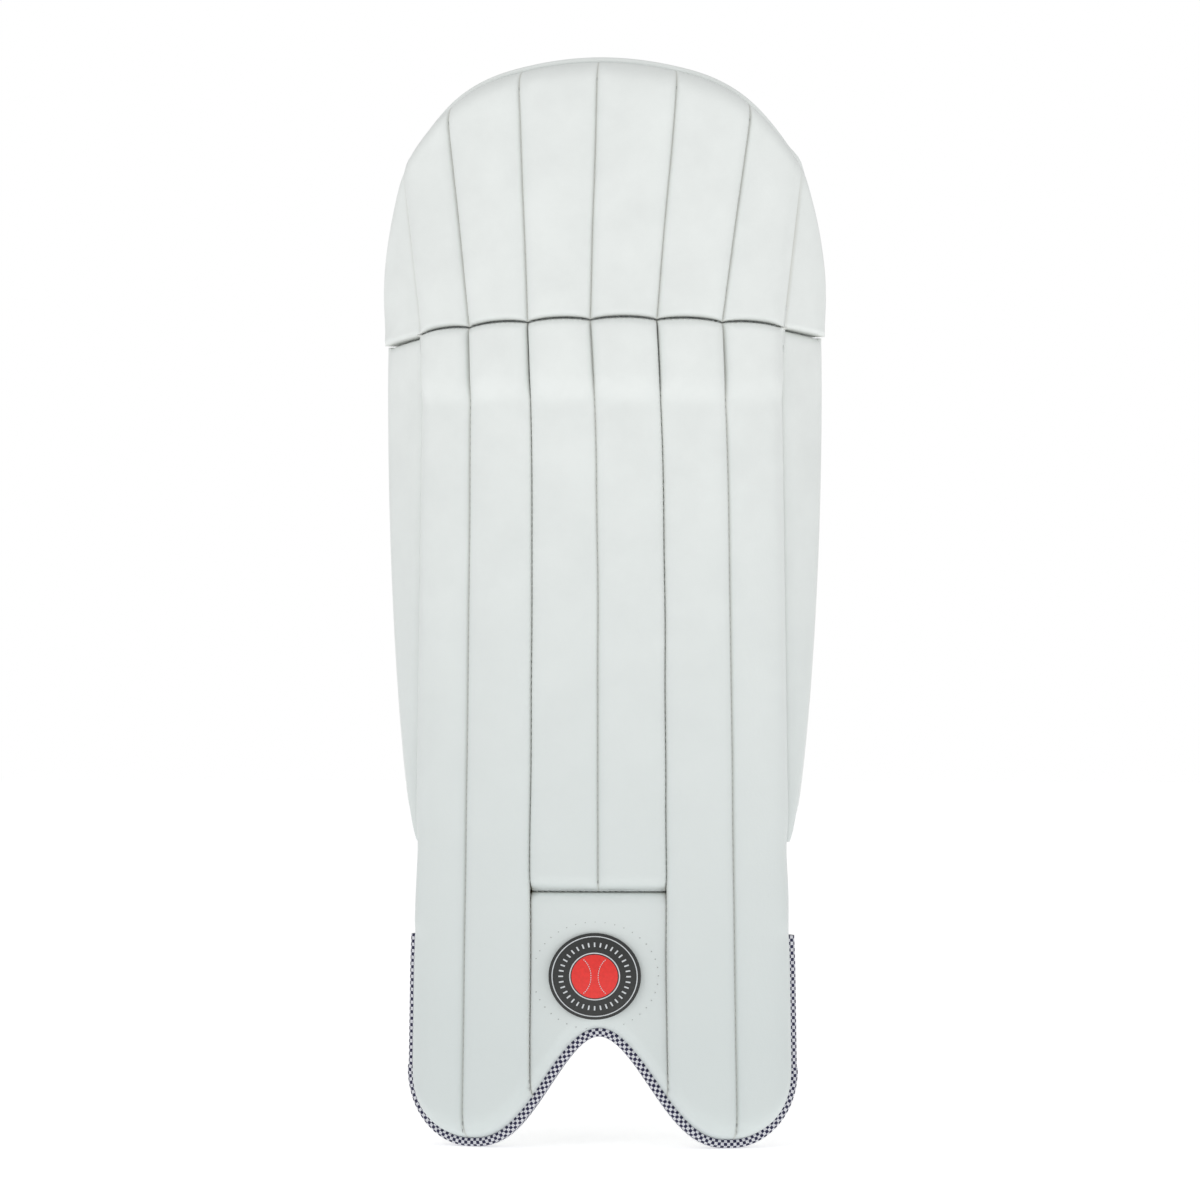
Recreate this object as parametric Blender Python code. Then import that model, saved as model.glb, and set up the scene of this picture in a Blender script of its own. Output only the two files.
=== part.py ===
"""Wicket-keeping leg guard, right leg, as worn: +Z up, front towards -Y, metres.

The guard is built on one developable surface, the lining. A place on it has three coordinates, in
millimetres: run is the distance round the leg from the centre seam, height is above the lowest point of
the guard, and depth is outwards from the lining, towards the ball. The shin section is the fixed body. The
knee flap, the two side wings and the three straps turn on their sewn lines.
"""

import math

import bmesh
import bpy
from mathutils import Vector

MM = 0.001

# Heights
TOTAL_HEIGHT = 640.0
KNEE_SEAM = 484.0
KNEE_ROLL_END = 438.0
WING_TOP = 471.0
WING_TIP = 176.0
INSTEP_TOP = 151.0
CHECK_START = 124.0
NOTCH_HEIGHT = 66.0

# Plan of the lining: an arc of three channels each side of the centre, then a straight wing
CHANNEL_AT_KNEE = 34.9
CHANNEL_AT_FOOT = 38.3
CHANNEL_AT_TOP = 40.5
OUTER_CHANNEL = 33.0
EDGE_ANGLE_AT_KNEE = math.radians(30.0)
EDGE_ANGLE_AT_FOOT = math.radians(26.0)
WING_ANGLE = math.radians(59.0)
WING_WIDTH = 42.0
BACK_SHIFT = 39.5

# Lower outline
LOBE_RUN = 76.0
CORNER_RADIUS = 41.0
NOTCH_POWER = 1.35

# Layers, as depths from the lining's inner face
GAP = 0.35
LINING = 1.5
FACING = 1.6
SEAM_DEPTH = 7.0
CHANNEL_DEPTH = 21.0
KNEE_ROLL_DEPTH = 25.0
INSTEP_DEPTH = 15.0
WING_DEPTH = 12.0
EDGE_DEPTH = 7.0
EDGE_FADE = 16.0
BINDING = 3.0
BINDING_GAP = 1.0
CANE_RADIUS = 3.0
CANE_ARCH = 8.6
CANE_END = 12.0
CANE_TOP_GAP = 20.0
CREASE = 3.0
THINNEST_FOAM = 2.0

# The shin's top edge falls away behind the knee flap's axis by this angle
KNEE_WEDGE = math.radians(7.0)
KNEE_AXIS_DEPTH = 24.0

# Top outline of the knee flap inside its tape: run from the centre, height above the knee seam
DOME = [(0, 152), (50, 145), (80, 131), (104, 104), (126, 69), (139, 36), (147, 0)]

# Straps: height of the middle, width, and how far the band bows out behind the wings
BAND = 2.2
PATCH = 1.5
STRAPS = {
    "knee_strap": (425.0, 45.0, 34.0),
    "calf_strap": (305.0, 45.0, 34.0),
    "ankle_strap": (92.0, 38.0, 58.0),
}
ANCHOR_LENGTH = 26.0
ANCHOR_INSET = 1.5
LOOP_MARGIN = 4.0
LOOP_INSET = 3.0
HOOK_MARGIN = 3.0
HOOK_INSET = 6.0
REAR_CLEARANCE = 6.0
PATCH_DEPTH = 0.75
HOOK_DEPTH = PATCH_DEPTH + PATCH + GAP
BAND_DEPTH = HOOK_DEPTH + PATCH + GAP + 0.5 * BAND
TIP_LENGTH = 33.0

# Badge
BADGE_RADIUS = 27.0
BADGE_HEIGHT = 102.0
BADGE_THICKNESS = 1.6
BALL_RADIUS = 13.0
BALL_THICKNESS = 1.45
DISC_SEGMENTS = 32

# Bolsters: channel indices, heights and thickness
BOLSTERS = {
    "shin_bolster_left": ((-1.75, -0.8), (120.0, 400.0), 20.0),
    "shin_bolster_right": ((0.8, 1.75), (120.0, 400.0), 20.0),
    "knee_bolster": ((-2.1, 2.1), (520.0, 580.0), 16.0),
}
BOLSTER_RIM = 3.0

SIDES = {"left": -1, "right": 1}

COLOURS = {
    "facing": ((0.83, 0.86, 0.85), 0.42),
    "lining": ((0.78, 0.80, 0.81), 0.85),
    "foam": ((0.72, 0.70, 0.58), 0.95),
    "cane": ((0.66, 0.50, 0.28), 0.60),
    "check": ((0.10, 0.10, 0.22), 0.70),
    "binding": ((0.86, 0.88, 0.88), 0.55),
    "strap": ((0.80, 0.82, 0.83), 0.60),
    "hook": ((0.16, 0.17, 0.20), 0.90),
    "badge_dark": ((0.03, 0.03, 0.03), 0.50),
    "badge_red": ((0.78, 0.03, 0.03), 0.45),
}


def clear_scene():
    """Start from an empty scene."""
    for thing in list(bpy.data.objects):
        bpy.data.objects.remove(thing, do_unlink=True)


def material(key):
    """One Principled material for each finish."""
    found = bpy.data.materials.get(key)
    if found:
        return found
    colour, roughness = COLOURS[key]
    made = bpy.data.materials.new(key)
    made.use_nodes = True
    shader = made.node_tree.nodes["Principled BSDF"]
    shader.inputs["Base Color"].default_value = (*colour, 1.0)
    shader.inputs["Roughness"].default_value = roughness
    return made


def mix(a, b, t):
    """Value at t on the way from a to b."""
    return a + (b - a) * t


def limit(value, low=0.0, high=1.0):
    """Value held between two limits."""
    return max(low, min(high, value))


def ease(t):
    """Smooth step from 0 to 1."""
    t = limit(t)
    return t * t * (3.0 - 2.0 * t)


def through(points, x):
    """Smooth curve through a few outline points, read at x."""
    last = len(points) - 2
    index = 0
    while index < last and x > points[index + 1][0]:
        index += 1
    (x0, y0), (x1, y1) = points[index], points[index + 1]
    before = points[max(index - 1, 0)]
    after = points[min(index + 2, last + 1)]
    slope0 = (y1 - before[1]) / max(x1 - before[0], 1.0) if index else 0.0
    slope1 = (after[1] - y0) / max(after[0] - x0, 1.0)
    span = x1 - x0
    t = limit((x - x0) / span)
    rise = (2 * t**3 - 3 * t**2 + 1) * y0 + (3 * t**2 - 2 * t**3) * y1
    return rise + span * ((t**3 - 2 * t**2 + t) * slope0 + (t**3 - t**2) * slope1)


def channel(height):
    """Width of one channel at a height."""
    if height > KNEE_SEAM:
        return mix(CHANNEL_AT_KNEE, CHANNEL_AT_TOP, (height - KNEE_SEAM) / (TOTAL_HEIGHT - KNEE_SEAM))
    return mix(CHANNEL_AT_FOOT, CHANNEL_AT_KNEE, height / KNEE_SEAM)


def seam_run(index, height):
    """Run at a channel index, counted from the centre seam: whole numbers are seams."""
    within = limit(index, -2.0, 2.0)
    return within * channel(height) + (index - within) * OUTER_CHANNEL


def edge_run(height):
    """Run of the seam between the channels and the wing."""
    return seam_run(3.0, height)


def edge_angle(height):
    """Angle that the channels have turned through at that seam."""
    return mix(EDGE_ANGLE_AT_FOOT, EDGE_ANGLE_AT_KNEE, limit(height / KNEE_SEAM))


def on_guard(run, height, depth):
    """Point in metres at a run, height and depth."""
    side = math.copysign(1.0, run)
    edge = edge_run(height)
    turned = edge_angle(height)
    radius = edge / turned
    angle = min(abs(run), edge) / radius
    x = radius * math.sin(angle)
    y = radius * (1.0 - math.cos(angle))
    if abs(run) > edge + 1e-6:
        angle = WING_ANGLE
        x += (abs(run) - edge) * math.cos(angle)
        y += (abs(run) - edge) * math.sin(angle)
    x += depth * math.sin(angle)
    y -= depth * math.cos(angle) + BACK_SHIFT
    return Vector((side * x, y, height)) * MM


def wing_width(height):
    """Width of the wing at a height."""
    t = limit((WING_TOP - height) / (WING_TOP - WING_TIP))
    return WING_WIDTH * (1.0 - t**1.8) ** 0.75


def low_edge(run):
    """Height of the lower outline at a run."""
    run = abs(run)
    if run < LOBE_RUN:
        wave = 0.5 + 0.5 * math.cos(math.pi * run / LOBE_RUN)
        return NOTCH_HEIGHT * wave**NOTCH_POWER
    across = limit((run - LOBE_RUN) / (edge_run(0.0) - LOBE_RUN))
    return CORNER_RADIUS * (1.0 - math.sqrt(1.0 - across**2))


def dome_edge(index):
    """Height of the knee flap's top outline on the seam line with this channel index."""
    height = TOTAL_HEIGHT
    for _ in range(12):
        height = KNEE_SEAM + through(DOME, seam_run(abs(index), height))
    return height


def dome_run(height):
    """Run of the knee flap's outline at a height, on its side panels."""
    low, high = 60.0, DOME[-1][0]
    for _ in range(24):
        middle = 0.5 * (low + high)
        if through(DOME, middle) > height - KNEE_SEAM:
            low = middle
        else:
            high = middle
    return high


def wedge(run):
    """Drop of the shin section's top edge at a run, from how far it lies behind the knee flap's axis."""
    behind = on_guard(run, KNEE_SEAM, 0.0).y / MM + BACK_SHIFT + KNEE_AXIS_DEPTH
    return behind * math.tan(KNEE_WEDGE)


def shin_top(run):
    """Height of the shin section's top edge."""
    return KNEE_SEAM - GAP - wedge(run)


def wing_fall(height, across):
    """Fall of a wing's top edge at a share of its width."""
    edge = edge_run(height)
    return wedge(edge + across * wing_width(height)) - wedge(edge)


def pillow(part):
    """Section of one channel, 0 at its seams and 1 over most of its width."""
    return (1.0 - abs(2.0 * part - 1.0) ** 3) ** 0.6


def fade(distance):
    """Fall of a padded panel towards its bound edge."""
    return ease(0.25 + 0.75 * distance / EDGE_FADE)


def add_object(name, mesh, key):
    """Write a bmesh to a named object with outward faces."""
    bmesh.ops.recalc_face_normals(mesh, faces=mesh.faces[:])
    if mesh.calc_volume(signed=True) < 0.0:
        bmesh.ops.reverse_faces(mesh, faces=mesh.faces[:])
    data = bpy.data.meshes.new(name)
    mesh.to_mesh(data)
    mesh.free()
    data.materials.append(material(key))
    data.shade_smooth()
    data.set_sharp_from_angle(angle=math.radians(40.0))
    thing = bpy.data.objects.new(name, data)
    bpy.context.collection.objects.link(thing)
    return thing


def slab(name, columns, rows, place, key):
    """Closed solid between two surfaces: place(u, v, side) gives the inner (0) or outer (1) point."""
    mesh = bmesh.new()
    bmesh.ops.create_grid(mesh, x_segments=columns, y_segments=rows, size=0.5)
    bmesh.ops.triangulate(mesh, faces=mesh.faces[:], quad_method="FIXED")
    inner = list(mesh.verts)
    grown = bmesh.ops.extrude_face_region(mesh, geom=mesh.faces[:])["geom"]
    outer = [item for item in grown if isinstance(item, bmesh.types.BMVert)]
    for side, verts in enumerate((inner, outer)):
        for vert in verts:
            vert.co = place(vert.co.x + 0.5, vert.co.y + 0.5, side)
    return add_object(name, mesh, key)


def spread(v, low, high, margin=EDGE_FADE):
    """Height at v, with the first and last tenth of v held for the faded margins."""
    if v < 0.1:
        return low + margin * v / 0.1
    if v > 0.9:
        return high - margin * (1.0 - v) / 0.1
    return mix(low + margin, high - margin, (v - 0.1) / 0.8)


def shin_depth(index, height):
    """Depth of the shin facing's middle surface on a line with this channel index."""
    roll = ease((height - KNEE_ROLL_END) / 12.0)
    crown = mix(CHANNEL_DEPTH, KNEE_ROLL_DEPTH, roll)
    crown -= CREASE * math.exp(-(((height - KNEE_ROLL_END) / 9.0) ** 2))
    return mix(SEAM_DEPTH, crown, pillow(index - math.floor(index)))


def shin_limits(index):
    """Lower and upper outline of the shin panels on a line with this channel index."""
    low = low_edge(seam_run(index, 0.0)) + BINDING + BINDING_GAP
    high = shin_top(seam_run(index, KNEE_SEAM))
    return low, high


def shin_place(first, last, low_stop, inner_depth, outer_depth):
    """Placing function of a shin layer between two channel seams."""

    def place(u, v, side):
        index = mix(first, last, u)
        low, high = shin_limits(index)
        low = max(low, low_stop)
        height = spread(v, low, high)
        nearest = min(height - low, high - height)
        inset = GAP if u in (0.0, 1.0) else 0.0
        run = seam_run(index, height) + inset * (1 if u < 0.5 else -1)
        layer = outer_depth if side else inner_depth
        return on_guard(run, height, layer(u, index, height, nearest))

    return place


def facing_depth(offset):
    """Depth function of a shin facing's surface."""

    def depth(u, index, height, nearest):
        return mix(EDGE_DEPTH, shin_depth(index, height), fade(nearest)) + offset

    return depth


def make_shin_facings():
    """Three facing panels: two channels in each."""
    inner = facing_depth(-0.5 * FACING)
    outer = facing_depth(0.5 * FACING)
    panels = {"left": (-3, -1, 0.0), "centre": (-1, 1, INSTEP_TOP + GAP), "right": (1, 3, 0.0)}
    for name, (first, last, stop) in panels.items():
        place = shin_place(first, last, stop, inner, outer)
        slab(f"shin_facing_{name}", 12, 12, place, "facing")


def foam_top(crown_depth):
    """Top of a foam filler, just under its facing."""
    return crown_depth - 0.5 * FACING - GAP


def foam_base(u):
    """Underside of a shin filler: on the lining at its sides, arched over the cane."""
    arch = 1.0 if 0.3 < u < 0.7 else 0.0
    return mix(LINING + GAP, CANE_ARCH, arch)


def make_shin_fillers():
    """One foam filler and one cane for each shin channel."""
    for number in range(1, 7):
        first = number - 4
        stop = INSTEP_TOP + GAP if number in (3, 4) else 0.0
        make_filler(number, first, stop)
        make_cane(number, first + 0.5, max(stop, NOTCH_HEIGHT - 6.0) + CANE_END)


def make_filler(number, first, stop):
    """Foam filler of one shin channel."""

    def top(u, index, height, nearest):
        crown = mix(EDGE_DEPTH, shin_depth(index, height), fade(nearest))
        return foam_top(crown)

    def base(u, index, height, nearest):
        return min(foam_base(u), top(u, index, height, nearest) - THINNEST_FOAM)

    place = shin_place(first, first + 1, stop, base, top)
    slab(f"shin_foam_{number}", 6, 12, place, "foam")


def make_cane(number, index, low):
    """Cane rod on the lining, under the arch of its foam filler."""
    high = shin_top(seam_run(index, KNEE_SEAM)) - CANE_TOP_GAP
    data = bpy.data.curves.new(f"shin_cane_{number}", "CURVE")
    data.dimensions = "3D"
    data.bevel_depth = CANE_RADIUS * MM
    data.bevel_resolution = 2
    data.use_fill_caps = True
    line = data.splines.new("POLY")
    steps = 5
    line.points.add(steps - 1)
    for step, point in enumerate(line.points):
        height = mix(low, high, step / (steps - 1))
        depth = LINING + GAP + CANE_RADIUS
        place = on_guard(seam_run(index, height), height, depth)
        point.co = (*place, 1.0)
    data.materials.append(material("cane"))
    thing = bpy.data.objects.new(f"shin_cane_{number}", data)
    bpy.context.collection.objects.link(thing)


def make_shin_lining():
    """Backing cloth of the six channels."""

    def layer(depth):
        def at(u, index, height, nearest):
            return depth

        return at

    place = shin_place(-3, 3, 0.0, layer(0.0), layer(LINING))
    slab("shin_lining", 24, 8, place, "lining")


def make_instep():
    """Smooth panel over the foot, with its foam."""

    def place_between(inner_depth, outer_depth):
        def place(u, v, side):
            index = mix(-1.0, 1.0, u)
            low = low_edge(seam_run(index, 0.0)) + BINDING + BINDING_GAP
            height = spread(v, low, INSTEP_TOP - GAP, 10.0)
            nearest = min(height - low, INSTEP_TOP - GAP - height)
            from_side = (1.0 - abs(index)) * channel(height)
            crown = mix(EDGE_DEPTH, INSTEP_DEPTH, fade(nearest) * fade(from_side))
            run = seam_run(index, height)
            if u in (0.0, 1.0):
                run += GAP if u == 0.0 else -GAP
            return on_guard(run, height, (outer_depth if side else inner_depth)(crown))

        return place

    skin = place_between(lambda d: d - 0.5 * FACING, lambda d: d + 0.5 * FACING)
    slab("instep_facing", 8, 8, skin, "facing")
    slab("instep_foam", 8, 8, place_between(lambda d: LINING + GAP, foam_top), "foam")


def make_wings():
    """Side wings: lining, foam, facing and the white tape round their free edges."""
    layers = {
        "lining": ("lining", lambda d: 0.0, lambda d: LINING),
        "foam": ("foam", lambda d: LINING + GAP, foam_top),
        "facing": ("facing", lambda d: d - 0.5 * FACING, lambda d: d + 0.5 * FACING),
    }
    for side_name, side in SIDES.items():
        for layer, (key, low, high) in layers.items():
            slab(f"wing_{layer}_{side_name}", 5, 9, wing_place(side, low, high), key)
        make_wing_binding(side_name, side)


def wing_height(v):
    """Height at v on a wing, whose lower end stops where it is too narrow to fill."""
    return mix(WING_TIP + 4.0, WING_TOP - 4.0, v)


def wing_place(side, inner, outer):
    """Placing function of one wing layer."""

    def place(u, v, layer):
        height = wing_height(v)
        width = wing_width(height)
        top_fall = wing_fall(height, u)
        crown = mix(EDGE_DEPTH, WING_DEPTH, ease(1.6 * (1.0 - u)) * ease(0.15 + 2.2 * u))
        crown = mix(EDGE_DEPTH - 1.5, crown, ease((1.0 - v) * 10.0) * ease(v * 6.0))
        run = edge_run(height) + GAP + u * (width - GAP)
        height -= top_fall * ease(4.0 * v - 3.0)
        return on_guard(side * run, height, (outer if layer else inner)(crown))

    return place


def make_wing_binding(side_name, side):
    """Tape on a wing's rear edge."""

    def place(u, v, layer):
        height = wing_height(u)
        width = wing_width(height)
        top_fall = wing_fall(height, 1.0)
        run = edge_run(height) + width + GAP + (BINDING if layer else 0.0)
        depth = mix(-0.4, EDGE_DEPTH + 1.2, v)
        if layer:
            depth = mix(0.6, EDGE_DEPTH - 0.2, v)
        return on_guard(side * run, height - top_fall * ease(4.0 * u - 3.0), depth)

    slab(f"wing_binding_{side_name}", 9, 2, place, "binding")


def edge_path():
    """Lower outline of the panels, from the left side to the right, as (run, height)."""
    rise = BINDING + BINDING_GAP
    notch_steps = 8
    corner_steps = 5
    half = []
    for step in range(notch_steps + 1):
        run = LOBE_RUN * step / notch_steps
        half.append((run, low_edge(run) + rise))
    for step in range(1, corner_steps + 1):
        turn = 0.5 * math.pi * step / corner_steps
        run = LOBE_RUN + (edge_run(0.0) - LOBE_RUN) * math.sin(turn)
        half.append((run, CORNER_RADIUS * (1.0 - math.cos(turn)) + rise))
    for height in (0.5 * (CORNER_RADIUS + CHECK_START), CHECK_START):
        half.append((edge_run(height), height))
    left = [(-run, height) for run, height in reversed(half[1:])]
    return left + half


def left_of_path(path, index):
    """Direction square to a path, on its left, in the run-height plane."""
    before = path[max(index - 1, 0)]
    after = path[min(index + 1, len(path) - 1)]
    along = Vector((after[0] - before[0], after[1] - before[1])).normalized()
    return Vector((-along.y, along.x))


def make_checked_binding():
    """Checked tape round the lower edge of the guard."""
    path = edge_path()
    last = len(path) - 1

    def place(u, v, layer):
        index = round(u * last)
        run, height = path[index]
        outward = -left_of_path(path, index)
        distance = BINDING_GAP + (BINDING if layer else 0.0)
        depth = mix(0.6, EDGE_DEPTH - 0.2, v) if layer else mix(-0.4, EDGE_DEPTH + 1.2, v)
        height = max(height + distance * outward.y, 0.0)
        return on_guard(run + distance * outward.x, height, depth)

    slab("checked_binding", last, 2, place, "check")


def knee_depth(index):
    """Depth of the knee facing's middle surface."""
    return mix(SEAM_DEPTH, CHANNEL_DEPTH + 1.0, pillow(index - math.floor(index)))


def knee_place(first, last, inner, outer):
    """Placing function of a knee layer between two channel seams."""

    def place(u, v, side):
        index = mix(first, last, u)
        low = KNEE_SEAM + GAP
        high = dome_edge(index)
        height = spread(v, low, high)
        nearest = min(height - low, high - height)
        run = seam_run(index, height)
        if u in (0.0, 1.0):
            run += GAP if u == 0.0 else -GAP
        crown = mix(EDGE_DEPTH, knee_depth(index), fade(nearest))
        return on_guard(run, height, (outer if side else inner)(crown))

    return place


def knee_side_place(side, inner, outer):
    """Placing function of a layer in the knee flap's side panels, from the seam to the outline."""
    top = dome_edge(3.0) - 8.0

    def place(u, v, layer):
        height = mix(KNEE_SEAM + GAP, top, v)
        first = edge_run(height) + GAP
        last = dome_run(height)
        lift = ease(1.0 - 4.0 * v) * u * 5.0
        run = mix(first, max(last, first + 4.0), u)
        crown = mix(EDGE_DEPTH, WING_DEPTH, ease(1.6 * (1.0 - u)) * ease(0.15 + 2.2 * u))
        crown = mix(EDGE_DEPTH - 1.0, crown, ease((1.0 - v) * 5.0) * ease(0.2 + v * 6.0))
        return on_guard(side * run, height + lift, (outer if layer else inner)(crown))

    return place


def make_knee():
    """Knee flap: lining, six channel fillers, side panels and one facing for each group."""

    def skin_in(depth):
        return depth - 0.5 * FACING

    def skin_out(depth):
        return depth + 0.5 * FACING

    def on_lining(depth):
        return LINING + GAP

    slab("knee_lining", 12, 8, knee_place(-3, 3, lambda d: 0.0, lambda d: LINING), "lining")
    slab("knee_facing", 36, 8, knee_place(-3, 3, skin_in, skin_out), "facing")
    for number in range(1, 7):
        first = number - 4
        slab(f"knee_foam_{number}", 6, 8, knee_place(first, first + 1, on_lining, foam_top), "foam")
    for side_name, side in SIDES.items():
        layers = {
            "lining": ("lining", lambda d: 0.0, lambda d: LINING),
            "foam": ("foam", on_lining, foam_top),
            "facing": ("facing", skin_in, skin_out),
        }
        for layer, (key, low, high) in layers.items():
            place = knee_side_place(side, low, high)
            slab(f"knee_side_{layer}_{side_name}", 4, 5, place, key)


def dome_path():
    """Top outline of the knee flap, right half, as (run, height)."""
    points = []
    steps = 16
    for step in range(steps + 1):
        turn = 0.5 * math.pi * step / steps
        run = DOME[-1][0] * math.sin(turn)
        points.append((run, KNEE_SEAM + through(DOME, run)))
    points[-1] = (points[-1][0], points[-1][1] + 5.0)
    return [(-run, height) for run, height in reversed(points[1:])] + points


def make_knee_binding():
    """White tape round the knee flap's top outline."""
    path = dome_path()
    last = len(path) - 1

    def place(u, v, layer):
        index = round(u * last)
        run, height = path[index]
        outward = left_of_path(path, index)
        distance = BINDING_GAP + (BINDING if layer else 0.0)
        depth = mix(0.6, EDGE_DEPTH - 0.2, v) if layer else mix(-0.4, EDGE_DEPTH + 1.2, v)
        return on_guard(run + distance * outward.x, height + distance * outward.y, depth)

    slab("knee_binding", last, 2, place, "binding")


def make_bolster(name, indices, heights, thickness):
    """Padded roll on the inner face of the lining."""

    def place(u, v, side):
        index = mix(indices[0], indices[1], u)
        height = mix(heights[0], heights[1], v)
        across = math.sqrt(limit(1.0 - (2.0 * u - 1.0) ** 4))
        along = math.sqrt(limit(1.0 - (2.0 * v - 1.0) ** 6))
        back = BOLSTER_RIM + (thickness - BOLSTER_RIM) * across * along
        depth = -GAP if side else -GAP - back
        return on_guard(seam_run(index, height), height, depth)

    slab(name, 6, 8, place, "lining")


def make_bolsters():
    """Inner rolls: two beside the shin bone and one across above the knee."""
    for name, (indices, heights, thickness) in BOLSTERS.items():
        make_bolster(name, indices, heights, thickness)


def rear_edge(height):
    """Run of the guard's rear edge, where the straps are sewn."""
    if height > WING_TIP:
        return edge_run(height) + wing_width(height)
    return edge_run(height)


def tip_length(height):
    """Length of strap that lies inside the other side, clear of the wing's seam."""
    if height > WING_TIP:
        return min(TIP_LENGTH, wing_width(height) - 8.0)
    return TIP_LENGTH


def strap_line(height, bow):
    """Plan line of a strap, from its sewn line round the leg to its tip inside the other side."""
    start = on_guard(rear_edge(height), height, 0.0) / MM + Vector((-1.0, REAR_CLEARANCE, 0.0))
    tip_steps = 4
    tip = []
    for step in range(tip_steps + 1):
        run = rear_edge(height) - tip_length(height) * step / tip_steps
        tip.append(on_guard(-run, height, -BAND_DEPTH) / MM)
    finish = tip[0] + (tip[0] - tip[1]).normalized() * REAR_CLEARANCE
    line = []
    steps = 12
    for step in range(steps + 1):
        t = step / steps
        point = start.lerp(finish, t)
        point.y += bow * math.sin(math.pi * t) ** 0.8
        line.append(point)
    return line + tip


def plan_normal(line, index):
    """Direction square to a plan line at one of its points."""
    before = line[max(index - 1, 0)]
    after = line[min(index + 1, len(line) - 1)]
    along = (after - before).normalized()
    return Vector((-along.y, along.x, 0.0))


def make_strap(name, height, width, bow):
    """Band of one strap."""
    line = strap_line(height, bow)
    last = len(line) - 1

    def place(u, v, side):
        index = round(u * last)
        point = line[index] + plan_normal(line, index) * BAND * (side - 0.5)
        point.z = height + width * (v - 0.5)
        return point * MM

    slab(name, last, 2, place, "strap")


def make_patch(name, side, height, width, runs, depths, key):
    """Flat patch on the inner face, beside a strap's sewn line or tip."""
    edge = rear_edge(height)

    def place(u, v, layer):
        run = edge - mix(runs[0], runs[1], u)
        point = on_guard(side * run, height, depths[layer])
        return Vector((point.x, point.y, (height + width * (v - 0.5)) * MM))

    slab(name, 4, 1, place, key)


def make_straps():
    """Each strap: a sewn anchor, the band, its hook patch and the loop patch that it closes on."""
    for name, (height, width, bow) in STRAPS.items():
        stem = name.replace("strap", "")
        make_strap(name, height, width, bow)
        anchor = (-PATCH_DEPTH - BAND, -PATCH_DEPTH)
        loop = (-PATCH_DEPTH - PATCH, -PATCH_DEPTH)
        hook = (-HOOK_DEPTH - PATCH, -HOOK_DEPTH)
        make_patch(f"{stem}anchor", 1, height, width, (ANCHOR_LENGTH, ANCHOR_INSET), anchor, "strap")
        tip = tip_length(height)
        loop_runs = (tip + LOOP_MARGIN, LOOP_INSET)
        make_patch(f"{stem}loop_patch", -1, height, width - LOOP_MARGIN, loop_runs, loop, "hook")
        hook_runs = (tip - HOOK_MARGIN, HOOK_INSET)
        make_patch(f"{stem}hook_patch", -1, height, width - 2.0 * LOOP_MARGIN, hook_runs, hook, "hook")


def disc(name, radius, front, back, key):
    """Flat round piece facing forwards."""
    mesh = bmesh.new()
    bmesh.ops.create_circle(mesh, cap_ends=True, segments=DISC_SEGMENTS, radius=radius * MM)
    grown = bmesh.ops.extrude_face_region(mesh, geom=mesh.faces[:])["geom"]
    bottom = set(mesh.verts)
    top = {item for item in grown if isinstance(item, bmesh.types.BMVert)}
    for vert in bottom - top:
        vert.co = Vector((vert.co.x, back * MM, vert.co.y + BADGE_HEIGHT * MM))
    for vert in top:
        vert.co = Vector((vert.co.x, front * MM, vert.co.y + BADGE_HEIGHT * MM))
    return add_object(name, mesh, key)


def make_badge():
    """Plain round badge on the instep panel."""
    face = -BACK_SHIFT - INSTEP_DEPTH - 0.5 * FACING - GAP
    top = face - BADGE_THICKNESS
    disc("badge_patch", BADGE_RADIUS, top, face, "badge_dark")
    disc("badge_ball", BALL_RADIUS, top - GAP - BALL_THICKNESS, top - GAP, "badge_red")


def main():
    """Build every piece."""
    clear_scene()
    make_shin_lining()
    make_shin_fillers()
    make_shin_facings()
    make_instep()
    make_wings()
    make_checked_binding()
    make_knee()
    make_knee_binding()
    make_bolsters()
    make_straps()
    make_badge()


main()
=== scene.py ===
"""Looks of a wicket-keeping leg guard: padded covers, tapes, stitching, straps and a plain studio.

A place on the guard has a run round the leg from the centre seam, a height above the lowest point, and a
depth outwards from the lining, all in millimetres, as in the design of its frame.
"""

import math
from types import SimpleNamespace

import bmesh
import bpy
from bpy.props import FloatProperty, PointerProperty, StringProperty
from mathutils import Matrix, Vector, noise


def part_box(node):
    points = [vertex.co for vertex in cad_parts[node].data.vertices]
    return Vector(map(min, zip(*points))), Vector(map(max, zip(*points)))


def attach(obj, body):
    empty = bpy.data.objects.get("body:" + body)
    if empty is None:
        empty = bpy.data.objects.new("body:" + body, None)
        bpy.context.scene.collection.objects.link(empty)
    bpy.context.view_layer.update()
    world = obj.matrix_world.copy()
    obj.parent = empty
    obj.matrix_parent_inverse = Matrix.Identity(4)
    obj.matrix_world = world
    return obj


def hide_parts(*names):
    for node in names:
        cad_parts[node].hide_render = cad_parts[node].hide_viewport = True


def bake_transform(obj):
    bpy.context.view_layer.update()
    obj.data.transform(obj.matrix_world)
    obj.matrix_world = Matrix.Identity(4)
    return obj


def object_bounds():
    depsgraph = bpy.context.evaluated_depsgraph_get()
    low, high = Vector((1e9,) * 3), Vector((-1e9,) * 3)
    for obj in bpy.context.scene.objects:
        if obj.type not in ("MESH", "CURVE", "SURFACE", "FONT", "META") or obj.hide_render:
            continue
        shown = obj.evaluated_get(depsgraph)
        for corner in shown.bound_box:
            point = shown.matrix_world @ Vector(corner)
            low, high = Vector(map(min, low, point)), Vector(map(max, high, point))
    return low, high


bl_info = {
    "name": "Leg guard looks",
    "version": (1, 0, 0),
    "blender": (4, 5, 0),
    "location": "View3D > Sidebar > Leg guard",
    "description": "Builds the padded covers, tapes, straps and studio of a leg guard round its frame",
    "category": "Object",
}

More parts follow.
